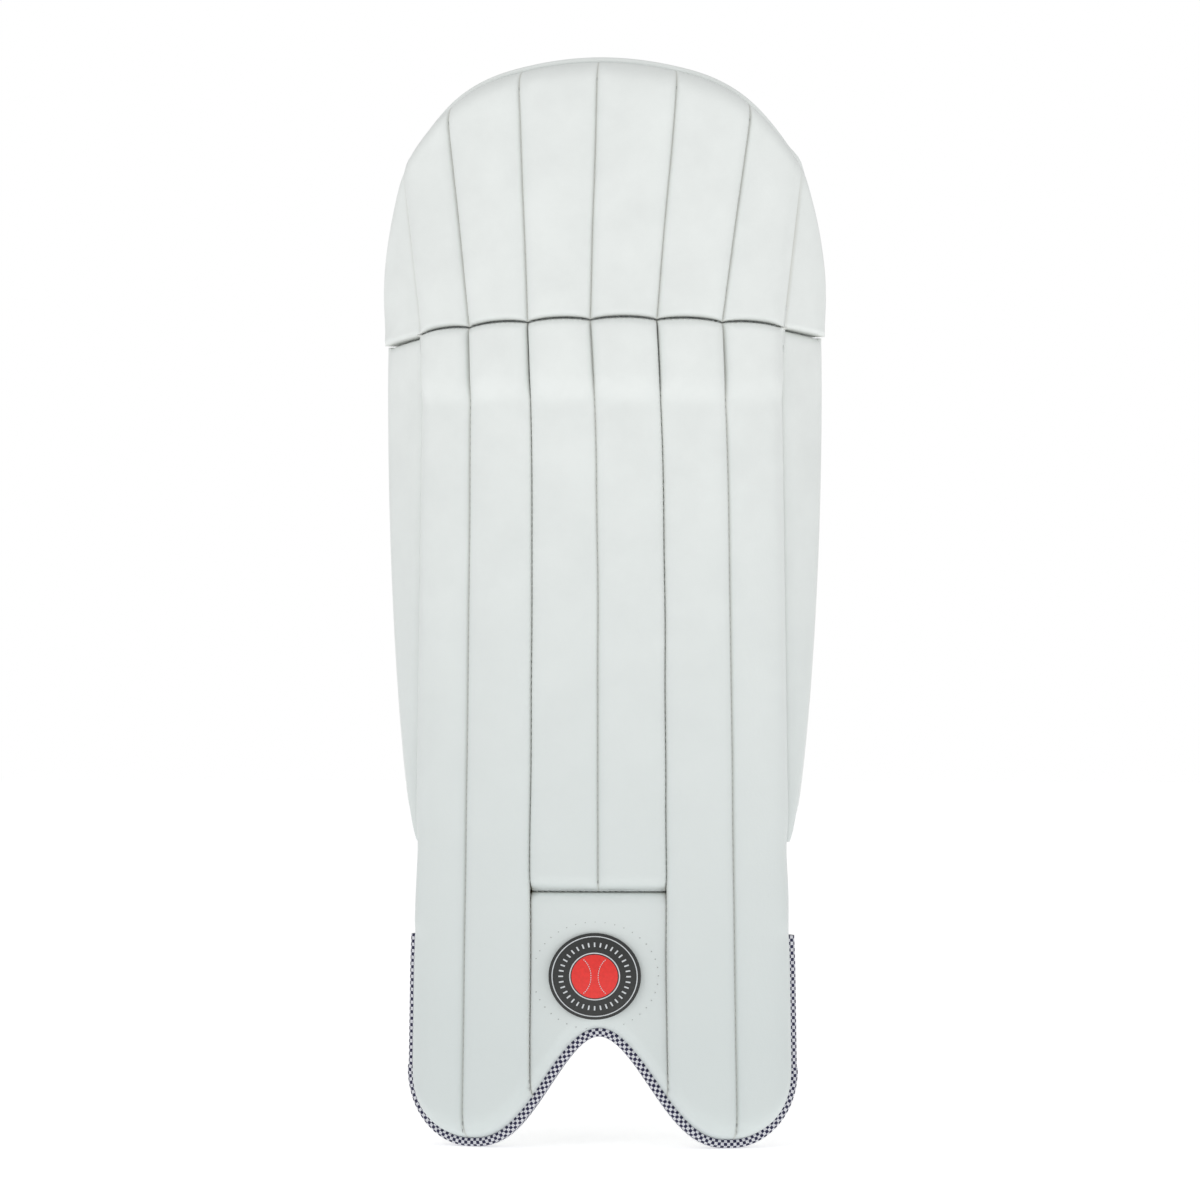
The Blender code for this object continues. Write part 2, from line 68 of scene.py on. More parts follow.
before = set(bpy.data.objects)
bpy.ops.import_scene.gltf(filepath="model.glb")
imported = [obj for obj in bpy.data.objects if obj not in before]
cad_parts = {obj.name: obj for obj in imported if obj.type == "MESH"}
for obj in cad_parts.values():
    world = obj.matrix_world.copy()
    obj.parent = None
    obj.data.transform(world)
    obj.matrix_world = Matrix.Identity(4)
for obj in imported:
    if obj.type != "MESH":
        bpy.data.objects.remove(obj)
CAD_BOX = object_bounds()
MM = 0.001

# The frame's own sizes, which the covers fit
TOTAL_HEIGHT = CAD_BOX[1].z / MM
KNEE_SEAM = 484.0
KNEE_ROLL_END = 438.0
WING_TOP = 471.0
WING_TIP = 176.0
INSTEP_TOP = 151.0
CHECK_START = 124.0
NOTCH_HEIGHT = 66.0
LOBE_RUN = 76.0
CORNER_RADIUS = 41.0
NOTCH_POWER = 1.35
CHANNEL_AT_KNEE = 34.9
CHANNEL_AT_FOOT = 38.3
CHANNEL_AT_TOP = 44.2
OUTER_CHANNEL = 33.0
OUTER_AT_FOOT = 36.0
EDGE_ANGLE_AT_KNEE = math.radians(30.0)
EDGE_ANGLE_AT_FOOT = math.radians(26.0)
WING_ANGLE = math.radians(59.0)
WING_WIDTH = 43.0
LEFT_SPREAD = math.radians(5.0)
LINING = 1.5
LINING_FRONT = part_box("shin_lining")[0].y / MM + LINING
EDGE_DEPTH = 7.0
BINDING = 3.0
BINDING_GAP = 1.0
OUTLINE_RISE = BINDING + BINDING_GAP
AMBIENT = 0.62
FOLD_WIDTH = 8.0
LEATHER = 1.0
CLOTH = 1.0
FOAM_CLEARANCE = 2.4
FOAM_BASE = 1.9
FOAM_LOWEST = 2.2
CANE_ARCH = 8.7
TURNED_UNDER = 0.6
RIM_RADIUS = 2.0
CLOTH_FRAMES = 20
KNEE_ARCH = 1.9
KNEE_SEAM_DEPTH = 16.6
BADGE_SQUASH = 0.935
DOME = [(0, 152), (50, 145.5), (81, 132), (107, 106), (130, 70), (143, 36), (150, 0)]
SIDES = {"left": -1, "right": 1}

# Straps: height, width, bow behind the leg, the body that each is sewn to and the one it closes on
STRAPS = {
    "knee": (425.0, 45.0, 34.0, "wing_right", "wing_left"),
    "calf": (305.0, 45.0, 34.0, "wing_right", "wing_left"),
    "ankle": (92.0, 38.0, 58.0, "shin_section", "shin_section"),
}
STRAP_THICKNESS = 2.0
BOX_STITCH = 3.0
TIP_LENGTH = 33.0
WING_SEAM_ROOM = 8.0
REAR_CLEARANCE = 6.0
TAB_INSETS = (26.0, 20.0, 14.0, 9.0, 5.0, 2.0, 0.5)
STRAP_DEPTH = -5.55
TAB_DEPTH = -1.85
LOOP_DEPTHS = (-2.25, -0.75)
HOOK_DEPTHS = (-4.1, -2.6)


class PadSizes(bpy.types.PropertyGroup):
    """Sizes of the padding and its trim."""

    crown: FloatProperty(
        name="Crown", description="Depth of a shin channel's top", default=20.6 * MM, unit="LENGTH"
    )
    roll: FloatProperty(
        name="Knee roll", description="Rise of the rolls below the knee", default=3.4 * MM, unit="LENGTH"
    )
    knee_crown: FloatProperty(
        name="Knee crown", description="Depth of a knee channel's top", default=21.4 * MM, unit="LENGTH"
    )
    seam: FloatProperty(
        name="Seam", description="Depth of the seams between channels", default=16.7 * MM, unit="LENGTH"
    )
    round: FloatProperty(
        name="Edge round", description="Width of a channel's rounded edge", default=7.4 * MM, unit="LENGTH"
    )
    instep: FloatProperty(
        name="Instep", description="Depth of the instep panel", default=15.0 * MM, unit="LENGTH"
    )
    wing: FloatProperty(name="Wing", description="Depth of the side wings", default=11.5 * MM, unit="LENGTH")
    check: FloatProperty(name="Check", description="Side of one woven check", default=1.9 * MM, unit="LENGTH")
    stitch: FloatProperty(name="Stitch", description="Pitch of the sewing", default=4.2 * MM, unit="LENGTH")


class PadColours(bpy.types.PropertyGroup):
    """Colours of the guard's materials, as sRGB hex."""

    leather: StringProperty(name="Leather", description="White coated leather", default="#EAEEEC")
    # Foot leather: painted shade, a greyer tone of the leather towards the foot
    leather_foot_shade: StringProperty(name="Foot leather", description="Greyer leather", default="#D5DCDB")
    # Seam colour: grey painted into the seams, partly their shade and partly dust
    seam_dust_and_shade: StringProperty(name="Seam dust", description="Tint gathered in the seams", default="#B4B3A8")
    lining: StringProperty(name="Lining", description="Back cloth", default="#F0F3F2")
    thread: StringProperty(name="Thread", description="Sewing thread", default="#A9ADAB")
    dark_thread: StringProperty(name="Dark thread", description="Thread of the knee seam", default="#9B9FA0")
    check_dark: StringProperty(name="Dark check", description="Navy yarn", default="#1D1B45")
    check_pale: StringProperty(name="Pale check", description="White yarn", default="#E6E7EE")
    webbing: StringProperty(name="Webbing", description="Strap band", default="#EFF1F0")
    hook: StringProperty(name="Hook tape", description="Hook and loop tape", default="#E6E8E7")
    badge_dark: StringProperty(name="Badge dark", description="Charcoal ring", default="#2A2C2B")
    badge_red: StringProperty(name="Badge red", description="Ball leather", default="#E8302A")
    badge_pale: StringProperty(name="Badge pale", description="Printed lines", default="#D3D7DA")
    foam: StringProperty(name="Foam", description="Filler foam", default="#E4DFC9")
    cane: StringProperty(name="Cane", description="Cane rods", default="#C9A878")
    floor: StringProperty(name="Floor", description="Studio floor", default="#FFFFFF")


def sizes():
    """The pad sizes in use, in millimetres."""
    group = bpy.context.scene.leg_guard_sizes
    return SimpleNamespace(**{key: round(getattr(group, key) / MM, 4) for key in PadSizes.__annotations__})


def colour(key):
    """One of the guard's colours as linear RGBA."""
    return linear(getattr(bpy.context.scene.leg_guard_colours, key))


def linear(code):
    """Linear RGBA of an sRGB hex colour."""
    channels = [int(code[i : i + 2], 16) / 255.0 for i in (1, 3, 5)]
    return (*[c / 12.92 if c <= 0.04045 else ((c + 0.055) / 1.055) ** 2.4 for c in channels], 1.0)


# Shape of the guard


def mix(a, b, t):
    """Value at t on the way from a to b."""
    return a + (b - a) * t


def limit(value, low=0.0, high=1.0):
    """Value held between two limits."""
    return max(low, min(high, value))


def ease(t):
    """Smooth step from 0 to 1."""
    t = limit(t)
    return t * t * (3.0 - 2.0 * t)


def bell(distance, width):
    """Smooth bump, 1 at no distance and near 0 at twice the width."""
    return math.exp(-((distance / width) ** 2))


def quarter(distance, radius):
    """Rise of a rounded edge at a distance from it, from 0 to 1."""
    return math.sqrt(1.0 - (1.0 - limit(distance / radius)) ** 2)


def through(points, x):
    """Smooth curve through a few outline points, read at x."""
    last = len(points) - 2
    index = 0
    while index < last and x > points[index + 1][0]:
        index += 1
    (x0, y0), (x1, y1) = points[index], points[index + 1]
    before = points[max(index - 1, 0)]
    after = points[min(index + 2, last + 1)]
    slope0 = (y1 - before[1]) / max(x1 - before[0], 1.0) if index else 0.0
    slope1 = (after[1] - y0) / max(after[0] - x0, 1.0)
    span = x1 - x0
    t = limit((x - x0) / span)
    rise = (2 * t**3 - 3 * t**2 + 1) * y0 + (3 * t**2 - 2 * t**3) * y1
    return rise + span * ((t**3 - 2 * t**2 + t) * slope0 + (t**3 - t**2) * slope1)


def channel(height):
    """Width of one inner channel at a height."""
    if height > KNEE_SEAM:
        return mix(CHANNEL_AT_KNEE, CHANNEL_AT_TOP, (height - KNEE_SEAM) / (TOTAL_HEIGHT - KNEE_SEAM))
    return mix(CHANNEL_AT_FOOT, CHANNEL_AT_KNEE, height / KNEE_SEAM)


def seam_wander(index, height):
    """Sideways wander of the hand-fed seams, largest where they meet the knee seam."""
    if height > KNEE_SEAM:
        fall = limit((TOTAL_HEIGHT - height) / (TOTAL_HEIGHT - KNEE_SEAM))
    else:
        fall = limit((height - 200.0) / (KNEE_SEAM - 200.0)) ** 5
    inner = math.sqrt(limit(1.0 - abs(index) / 3.0))
    waver = 0.8 * noise.noise(Vector((0.0, round(index) * 7.0, height / 70.0)))
    return (-4.0 * fall + waver) * inner


def straight_run(index, height):
    """Run at a channel index, counted from the centre seam, before the seams wander."""
    within = limit(index, -2.0, 2.0)
    outer = mix(OUTER_AT_FOOT, OUTER_CHANNEL, ease((height - 100.0) / 100.0))
    return within * channel(height) + (index - within) * outer


def seam_run(index, height):
    """Run at a channel index as sewn: whole numbers are seams."""
    low = math.floor(index)
    wander = mix(seam_wander(low, height), seam_wander(low + 1, height), index - low)
    return straight_run(index, height) + wander


def edge_run(height):
    """Run of the seam between the channels and the wing."""
    return straight_run(3.0, height)


def on_guard(run, height, depth):
    """Point in metres at a run, height and depth. The wing's fold is softened over a few millimetres."""
    side = math.copysign(1.0, run)
    edge = edge_run(height)
    turned = mix(EDGE_ANGLE_AT_FOOT, EDGE_ANGLE_AT_KNEE, limit(height / KNEE_SEAM))
    radius = edge / turned
    angle = min(abs(run), edge) / radius
    x = radius * math.sin(angle)
    y = radius * (1.0 - math.cos(angle))
    beyond = abs(run) - edge
    wing = WING_ANGLE if run > 0.0 else WING_ANGLE - LEFT_SPREAD
    fold = mix(turned, wing, ease((height - CHECK_START) / 30.0))
    if beyond > 0.0:
        x += beyond * math.cos(fold)
        y += beyond * math.sin(fold)
    facing = mix(angle, fold, ease(0.5 + beyond / FOLD_WIDTH))
    x += depth * math.sin(facing)
    y += LINING_FRONT - depth * math.cos(facing)
    return Vector((side * x, y, height)) * MM


def wing_width(height):
    """Width of the wing at a height."""
    t = limit((WING_TOP - height) / (WING_TOP - WING_TIP))
    return WING_WIDTH * (1.0 - t**1.8) ** 0.75


def low_edge(run):
    """Height of the panels' lower outline at a run."""
    run = abs(run)
    if run < LOBE_RUN:
        wave = 0.5 + 0.5 * math.cos(math.pi * run / LOBE_RUN)
        return NOTCH_HEIGHT * wave**NOTCH_POWER + OUTLINE_RISE
    across = limit((run - LOBE_RUN) / (edge_run(0.0) - LOBE_RUN))
    return CORNER_RADIUS * (1.0 - math.sqrt(1.0 - across**2)) + OUTLINE_RISE


def knee_run(index, height):
    """Run on the knee flap, whose side panels lie between index 3 and index 4."""
    beyond = max(abs(index) - 3.0, 0.0)
    inner = seam_run(limit(index, -3.0, 3.0), height)
    return inner + math.copysign(beyond * (DOME[-1][0] - edge_run(KNEE_SEAM)), index)


def dome_edge(index):
    """Height of the knee flap's top outline at a channel index."""
    height = TOTAL_HEIGHT
    for _ in range(14):
        height = KNEE_SEAM + through(DOME, abs(knee_run(index, height)))
    return height


def part_of(index):
    """Place across a channel, from 0 to 1."""
    return index - math.floor(index)


def knee_fall(index):
    """Height of the line between the shin and the knee flap at a channel index, without its arches."""
    return KNEE_SEAM + 0.8 - 0.6 * index**2 + 0.6 * index


def knee_line(index):
    """Height of the stitched line between the shin and the knee flap, arched over each channel."""
    arch = KNEE_ARCH * math.sin(math.pi * part_of(index)) ** 0.7 if abs(index) < 3.0 else 0.0
    return knee_fall(index) + arch


def from_seam(index, height):
    """Distance from the nearest seam beside a channel index."""
    part = part_of(index)
    width = channel(height) if abs(index) < 2.0 else OUTER_CHANNEL
    return min(part, 1.0 - part) * width


def ripple(point, size, seed):
    """Soft unevenness of hand-filled padding, from -1 to 1, with features of a size in millimetres."""
    return noise.noise(Vector(point) / (size * MM) + Vector((seed, 0.0, 0.0)))


# Meshes


def spaced(count, crowd=0.0):
    """Places from 0 to 1, crowded towards both ends by the amount from 0 to 1."""
    steps = [step / count for step in range(count + 1)]
    return [mix(t, 0.5 - 0.5 * math.cos(math.pi * t), crowd) for t in steps]


def channel_columns(first, last, each):
    """Channel indices of a cover's columns, crowded towards every seam."""
    columns = [float(first)]
    for index in range(first, last):
        columns += [index + t for t in spaced(each, 0.85)[1:]]
    return columns


def crowded_rows(length, step):
    """Shares of a length, closer together at both sewn ends."""
    near = [0.0, 0.4, 1.0, 1.9, 3.2, 5.0, 7.5, 11.0, 15.0]
    count = max(round((length - 30.0) / step), 1)
    middle = [15.0 + (length - 30.0) * number / count for number in range(1, count)]
    return [place / length for place in near + middle + [length - place for place in reversed(near)]]


def sheet(name, columns, rows, place, wrap):
    """Mesh of a sheet: place(column, row) gives a point, and wrap gives its flat coordinates in mm."""
    mesh = bmesh.new()
    uv = mesh.loops.layers.uv.new("flat")
    bmesh.ops.create_grid(mesh, x_segments=len(columns) - 1, y_segments=len(rows) - 1, size=0.5)
    flat = {}
    for vert in mesh.verts:
        column = columns[round((vert.co.x + 0.5) * (len(columns) - 1))]
        row = rows[round((vert.co.y + 0.5) * (len(rows) - 1))]
        vert.co = place(column, row)
        flat[vert] = wrap(column, row)
    for face in mesh.faces:
        for loop in face.loops:
            loop[uv].uv = [value * MM for value in flat[loop.vert]]
    return finish_mesh(name, mesh)


def block(name, columns, rows, place):
    """Closed body: place(column, row, side) gives the inner (0) or the outer (1) point."""
    mesh = bmesh.new()
    bmesh.ops.create_grid(mesh, x_segments=len(columns) - 1, y_segments=len(rows) - 1, size=0.5)
    inner = list(mesh.verts)
    grown = bmesh.ops.extrude_face_region(mesh, geom=mesh.faces[:])["geom"]
    outer = [item for item in grown if isinstance(item, bmesh.types.BMVert)]
    for side, verts in enumerate((inner, outer)):
        for vert in verts:
            column = columns[round((vert.co.x + 0.5) * (len(columns) - 1))]
            row = rows[round((vert.co.y + 0.5) * (len(rows) - 1))]
            vert.co = place(column, row, side)
    bmesh.ops.recalc_face_normals(mesh, faces=mesh.faces[:])
    if mesh.calc_volume(signed=True) < 0.0:
        bmesh.ops.reverse_faces(mesh, faces=mesh.faces[:])
    return finish_mesh(name, mesh)


def finish_mesh(name, mesh):
    """Write a bmesh to a smooth named object."""
    for face in mesh.faces:
        face.smooth = True
    data = bpy.data.meshes.new(name)
    mesh.to_mesh(data)
    mesh.free()
    thing = bpy.data.objects.new(name, data)
    bpy.context.scene.collection.objects.link(thing)
    return thing


def tube(name, stations):
    """Closed tube through rings of points, with flat coordinates along it and round it."""
    mesh = bmesh.new()
    uv = mesh.loops.layers.uv.new("flat")
    sides = len(stations[0])
    along = [0.0]
    for before, after in zip(stations, stations[1:]):
        along.append(along[-1] + (after[sides // 4] - before[sides // 4]).length)
    around = [0.0]
    for index in range(sides):
        around.append(around[-1] + (stations[0][(index + 1) % sides] - stations[0][index]).length)
    seam = []
    for ring in stations:
        edges = []
        verts = [mesh.verts.new(point) for point in ring]
        for index in range(sides):
            edges.append(mesh.edges.new((verts[index], verts[(index + 1) % sides])))
        seam.append((verts, edges))
    place = {vert: (a, b) for a, (verts, _) in zip(along, seam) for vert, b in zip(verts, around)}
    for (_, before), (_, after) in zip(seam, seam[1:]):
        bmesh.ops.bridge_loops(mesh, edges=before + after)
    for face in mesh.faces:
        turns = [place[loop.vert][1] for loop in face.loops]
        wraps = max(turns) > 0.75 * around[-1] and min(turns) < 0.01 * around[-1]
        for loop in face.loops:
            run, turn = place[loop.vert]
            loop[uv].uv = (run, around[-1] if wraps and turn < 0.25 * around[-1] else turn)
    for _, edges in (seam[0], seam[-1]):
        bmesh.ops.contextual_create(mesh, geom=edges)
    bmesh.ops.recalc_face_normals(mesh, faces=mesh.faces[:])
    if mesh.calc_volume(signed=True) < 0.0:
        bmesh.ops.reverse_faces(mesh, faces=mesh.faces[:])
    return finish_mesh(name, mesh)


def stitches(name, lines, length, radius):
    """Thread that shows on the surface: one short drop for each step of the lines."""
    mesh = bmesh.new()
    for line in lines:
        for before, after in zip(line, line[1:]):
            turn = (after - before).to_track_quat("X", "Z").to_matrix().to_4x4()
            size = Matrix.Diagonal((0.5 * length * MM, radius * MM, radius * MM, 1.0))
            middle = Matrix.Translation(before.lerp(after, 0.5))
            matrix = middle @ turn @ size
            bmesh.ops.create_uvsphere(mesh, u_segments=6, v_segments=5, radius=1.0, matrix=matrix)
    return finish_mesh(name, mesh)


def thicken(piece, thickness):
    """Live finish of a cover: one smoothing subdivision, then its own thickness inwards."""
    smooth = piece.modifiers.new("Smooth", "SUBSURF")
    smooth.levels = smooth.render_levels = 1
    wall = piece.modifiers.new("Wall", "SOLIDIFY")
    wall.thickness = thickness * MM
    wall.offset = -1.0


def run_cloth(piece, pressure, cap, pins=None):
    """Blow a piece out as cloth round its pins, and keep at most a capped movement."""
    cloth = piece.modifiers.new("Cloth", "CLOTH")
    settings = cloth.settings
    settings.quality = 4
    settings.mass = 0.2
    settings.tension_stiffness = settings.compression_stiffness = 20.0
    settings.bending_stiffness = 0.8
    settings.use_pressure = True
    settings.uniform_pressure_force = pressure
    settings.effector_weights.gravity = 0.0
    cloth.collision_settings.use_collision = False
    if pins:
        group = piece.vertex_groups.new(name="pins")
        for index, weight in enumerate(pins):
            group.add([index], weight, "REPLACE")
        settings.vertex_group_mass = "pins"
    for number in range(1, CLOTH_FRAMES + 1):
        bpy.context.scene.frame_set(number)
    blown = piece.evaluated_get(bpy.context.evaluated_depsgraph_get()).to_mesh()
    places = [vert.co.copy() for vert in blown.vertices]
    piece.modifiers.remove(cloth)
    piece.vertex_groups.clear()
    for vert, place in zip(piece.data.vertices, places):
        moved = place - vert.co
        vert.co += moved * min(1.0, cap * MM / max(moved.length, 1e-9))
    bpy.context.scene.frame_set(1)


# Nodes and materials

# Colour sockets of a Mix node
MIXED = 2
MIX_A = 6
MIX_B = 7


def add_node(tree, kind, settings=None, values=None, links=None, stops=()):
    """Add one node, set it up, link its inputs from (node, output) pairs, and place its colour stops."""
    node = tree.nodes.new(kind)
    for key, value in (settings or {}).items():
        setattr(node, key, value)
    for key, value in (values or {}).items():
        node.inputs[key].default_value = value
    for key, (source, output) in (links or {}).items():
        tree.links.new(source.outputs[output], node.inputs[key])
    for number, (position, rgba) in enumerate(stops):
        node.color_ramp.elements[number].position = position
        node.color_ramp.elements[number].color = rgba
    return node


def new_material(name):
    """New material and its empty node tree."""
    made = bpy.data.materials.new(name)
    made.use_nodes = True
    made.node_tree.nodes.clear()
    return made, made.node_tree


def close_material(tree, shader):
    """Send a shader to the surface."""
    output = add_node(tree, "ShaderNodeOutputMaterial")
    tree.links.new(shader.outputs[0], output.inputs["Surface"])


def shaded(rgba, factor):
    """A colour made darker or lighter."""
    return (*[limit(part * factor) for part in rgba[:3]], 1.0)


def per_mm(size):
    """Texture scale whose features are about this many millimetres."""
    return 1.0 / (size * MM)


def coated_leather(name, key, foot_shade_key=None):
    """Split leather with a rolled-on polyurethane coat, pulled over foam and sewn."""
    # The coat gives a satin sheen with soft wide highlights, the hide below a fine pebble and shallow folds,
    # and handling a faint mottling. The seams get a painted grey that is partly their shade and partly dust,
    # and a painted shade greys the leather towards the foot
    made, tree = new_material(name)
    spots = add_node(tree, "ShaderNodeTexCoord")
    mottle = add_node(
        tree, "ShaderNodeTexNoise",
        values={"Scale": per_mm(26.0), "Detail": 4.0, "Roughness": 0.55},
        links={"Vector": (spots, "Object")},
    )
    base = colour(key)
    tone = add_node(
        tree, "ShaderNodeValToRGB",
        links={"Fac": (mottle, "Fac")},
        stops=[(0.3, shaded(base, 0.955)), (0.7, shaded(base, 1.01))],
    )
    # Painted shade: the leather greys towards the foot colour from a height of 460 mm down to 60 mm
    if foot_shade_key:
        split = add_node(tree, "ShaderNodeSeparateXYZ", links={"Vector": (spots, "Object")})
        fall = add_node(
            tree, "ShaderNodeMapRange",
            values={"From Min": 0.06, "From Max": 0.46},
            links={"Value": (split, "Z")},
        )
        low = colour(foot_shade_key)
        tone = add_node(
            tree, "ShaderNodeMix", {"data_type": "RGBA"},
            values={"A": low},
            links={"Factor": (fall, "Result"), "B": (tone, "Color")},
        )
    # Painted seam shade and dust: the stored amount mixes the seam colour into the leather near the seams
    seam = add_node(tree, "ShaderNodeAttribute", {"attribute_name": "seam"})
    seam_shade_and_grime = add_node(
        tree, "ShaderNodeMix", {"data_type": "RGBA"},
        values={"B": colour("seam_dust_and_shade")},
        links={"Factor": (seam, "Fac")},
    )
    tree.links.new(tone.outputs[MIXED if foot_shade_key else "Color"], seam_shade_and_grime.inputs[MIX_A])
    pebble = add_node(
        tree, "ShaderNodeTexVoronoi", {"feature": "SMOOTH_F1"},
        values={"Scale": per_mm(1.3), "Smoothness": 0.6},
        links={"Vector": (spots, "Object")},
    )
    folds = add_node(
        tree, "ShaderNodeTexNoise",
        values={"Scale": per_mm(9.0), "Detail": 3.0},
        links={"Vector": (spots, "Object")},
    )
    dents = add_node(
        tree, "ShaderNodeBump",
        values={"Strength": 0.18, "Distance": 0.0008},
        links={"Height": (folds, "Fac")},
    )
    grain = add_node(
        tree, "ShaderNodeBump",
        values={"Strength": 0.10, "Distance": 0.0002},
        links={"Height": (pebble, "Distance"), "Normal": (dents, "Normal")},
    )
    gloss = add_node(
        tree, "ShaderNodeMapRange",
        values={"To Min": 0.38, "To Max": 0.52},
        links={"Value": (mottle, "Fac")},
    )
    shader = add_node(
        tree, "ShaderNodeBsdfPrincipled",
        values={"IOR": 1.48, "Specular IOR Level": 0.45, "Coat Weight": 0.08, "Coat Roughness": 0.3},
        links={"Roughness": (gloss, "Result"), "Normal": (grain, "Normal")},
    )
    tree.links.new(seam_shade_and_grime.outputs[MIXED], shader.inputs["Base Color"])
    close_material(tree, shader)
    return made


def woven_cloth(name, key, thread, roughness=0.85):
    """Plain woven polyester."""
    # Crossing threads catch the light on their backs and leave dark pits between; the fuzz on them gives a
    # pale sheen at a glance. The threads are drawn about twice as coarse as real ones so that they show
    made, tree = new_material(name)
    spots = add_node(tree, "ShaderNodeTexCoord")
    waves = []
    for direction in ("X", "Y"):
        waves.append(
            add_node(
                tree, "ShaderNodeTexWave", {"bands_direction": direction},
                values={"Scale": per_mm(thread) / 3.2, "Distortion": 0.6, "Detail": 1.0},
                links={"Vector": (spots, "UV")},
            )
        )
    weave = add_node(
        tree, "ShaderNodeMath", {"operation": "MULTIPLY"},
        links={0: (waves[0], "Fac"), 1: (waves[1], "Fac")},
    )
    base = colour(key)
    tone = add_node(
        tree, "ShaderNodeValToRGB",
        links={"Fac": (weave, "Value")},
        stops=[(0.05, shaded(base, 0.72)), (0.7, base)],
    )
    bump = add_node(
        tree, "ShaderNodeBump",
        values={"Strength": 0.5, "Distance": 0.0004},
        links={"Height": (weave, "Value")},
    )
    shader = add_node(
        tree, "ShaderNodeBsdfPrincipled",
        values={"Roughness": roughness, "Sheen Weight": 0.25, "Sheen Roughness": 0.5},
        links={"Base Color": (tone, "Color"), "Normal": (bump, "Normal")},
    )
    close_material(tree, shader)
    return made


def checked_tape(name):
    """Woven cotton tape in navy and white checks."""
    # Each check is a crossing of dyed yarns, so it puffs up, wavers a little and is duller at its edge
    made, tree = new_material(name)
    spots = add_node(tree, "ShaderNodeTexCoord")
    side = sizes().check
    wobble = add_node(
        tree, "ShaderNodeTexNoise",
        values={"Scale": per_mm(3.0), "Detail": 2.0},
        links={"Vector": (spots, "UV")},
    )
    shift = add_node(
        tree, "ShaderNodeVectorMath", {"operation": "MULTIPLY_ADD"},
        values={1: (0.0007, 0.0007, 0.0)},
        links={0: (wobble, "Color"), 2: (spots, "UV")},
    )
    checks = add_node(
        tree, "ShaderNodeTexChecker",
        values={"Scale": per_mm(side), "Color1": colour("check_dark"), "Color2": colour("check_pale")},
        links={"Vector": (shift, "Vector")},
    )
    yarn = add_node(
        tree, "ShaderNodeTexVoronoi", {"feature": "F1"},
        values={"Scale": per_mm(side * 0.5), "Randomness": 0.25},
        links={"Vector": (spots, "UV")},
    )
    fade = add_node(
        tree, "ShaderNodeValToRGB",
        links={"Fac": (yarn, "Distance")},
        stops=[(0.2, (1, 1, 1, 1)), (0.8, (0.62, 0.62, 0.62, 1))],
    )
    tone = add_node(
        tree, "ShaderNodeMix", {"data_type": "RGBA", "blend_type": "MULTIPLY"}, values={"Factor": 1.0}
    )
    tree.links.new(checks.outputs["Color"], tone.inputs[MIX_A])
    tree.links.new(fade.outputs["Color"], tone.inputs[MIX_B])
    bump = add_node(
        tree, "ShaderNodeBump", {"invert": True},
        values={"Strength": 0.6, "Distance": 0.0006},
        links={"Height": (yarn, "Distance")},
    )
    shader = add_node(
        tree, "ShaderNodeBsdfPrincipled",
        values={"Roughness": 0.8, "Sheen Weight": 0.2},
        links={"Normal": (bump, "Normal")},
    )
    tree.links.new(tone.outputs[MIXED], shader.inputs["Base Color"])
    close_material(tree, shader)
    return made


def napped_tape(name, key, size):
    """Hook and loop tape of woven nylon."""
    # A nap of tiny loops scatters the light, so the tape looks dull, grainy and soft-edged
    made, tree = new_material(name)
    spots = add_node(tree, "ShaderNodeTexCoord")
    loops = add_node(
        tree, "ShaderNodeTexVoronoi", {"feature": "F1"},
        values={"Scale": per_mm(size)},
        links={"Vector": (spots, "Object")},
    )
    base = colour(key)
    tone = add_node(
        tree, "ShaderNodeValToRGB",
        links={"Fac": (loops, "Distance")},
        stops=[(0.1, base), (0.9, shaded(base, 0.55))],
    )
    bump = add_node(
        tree, "ShaderNodeBump", {"invert": True},
        values={"Strength": 0.9, "Distance": 0.0008},
        links={"Height": (loops, "Distance")},
    )
    shader = add_node(
        tree, "ShaderNodeBsdfPrincipled",
        values={"Roughness": 0.9, "Sheen Weight": 0.4},
        links={"Base Color": (tone, "Color"), "Normal": (bump, "Normal")},
    )
    close_material(tree, shader)
    return made


def plain_finish(name, key, roughness, grain, depth):
    """Surface of one colour whose fine unevenness has a grain and a depth in millimetres."""
    # The unevenness breaks the highlight: thread looks twisted, moulded rubber slightly eggshell, foam open
    # and dry, and cane ribbed along its skin
    made, tree = new_material(name)
    spots = add_node(tree, "ShaderNodeTexCoord")
    rough = add_node(
        tree, "ShaderNodeTexNoise",
        values={"Scale": per_mm(grain), "Detail": 3.0},
        links={"Vector": (spots, "Object")},
    )
    base = colour(key)
    tone = add_node(
        tree, "ShaderNodeValToRGB",
        links={"Fac": (rough, "Fac")},
        stops=[(0.3, shaded(base, 0.88)), (0.7, shaded(base, 1.04))],
    )
    bump = add_node(
        tree, "ShaderNodeBump",
        values={"Strength": 0.4, "Distance": depth * MM},
        links={"Height": (rough, "Fac")},
    )
    shader = add_node(
        tree, "ShaderNodeBsdfPrincipled",
        values={"Roughness": roughness},
        links={"Base Color": (tone, "Color"), "Normal": (bump, "Normal")},
    )
    close_material(tree, shader)
    return made


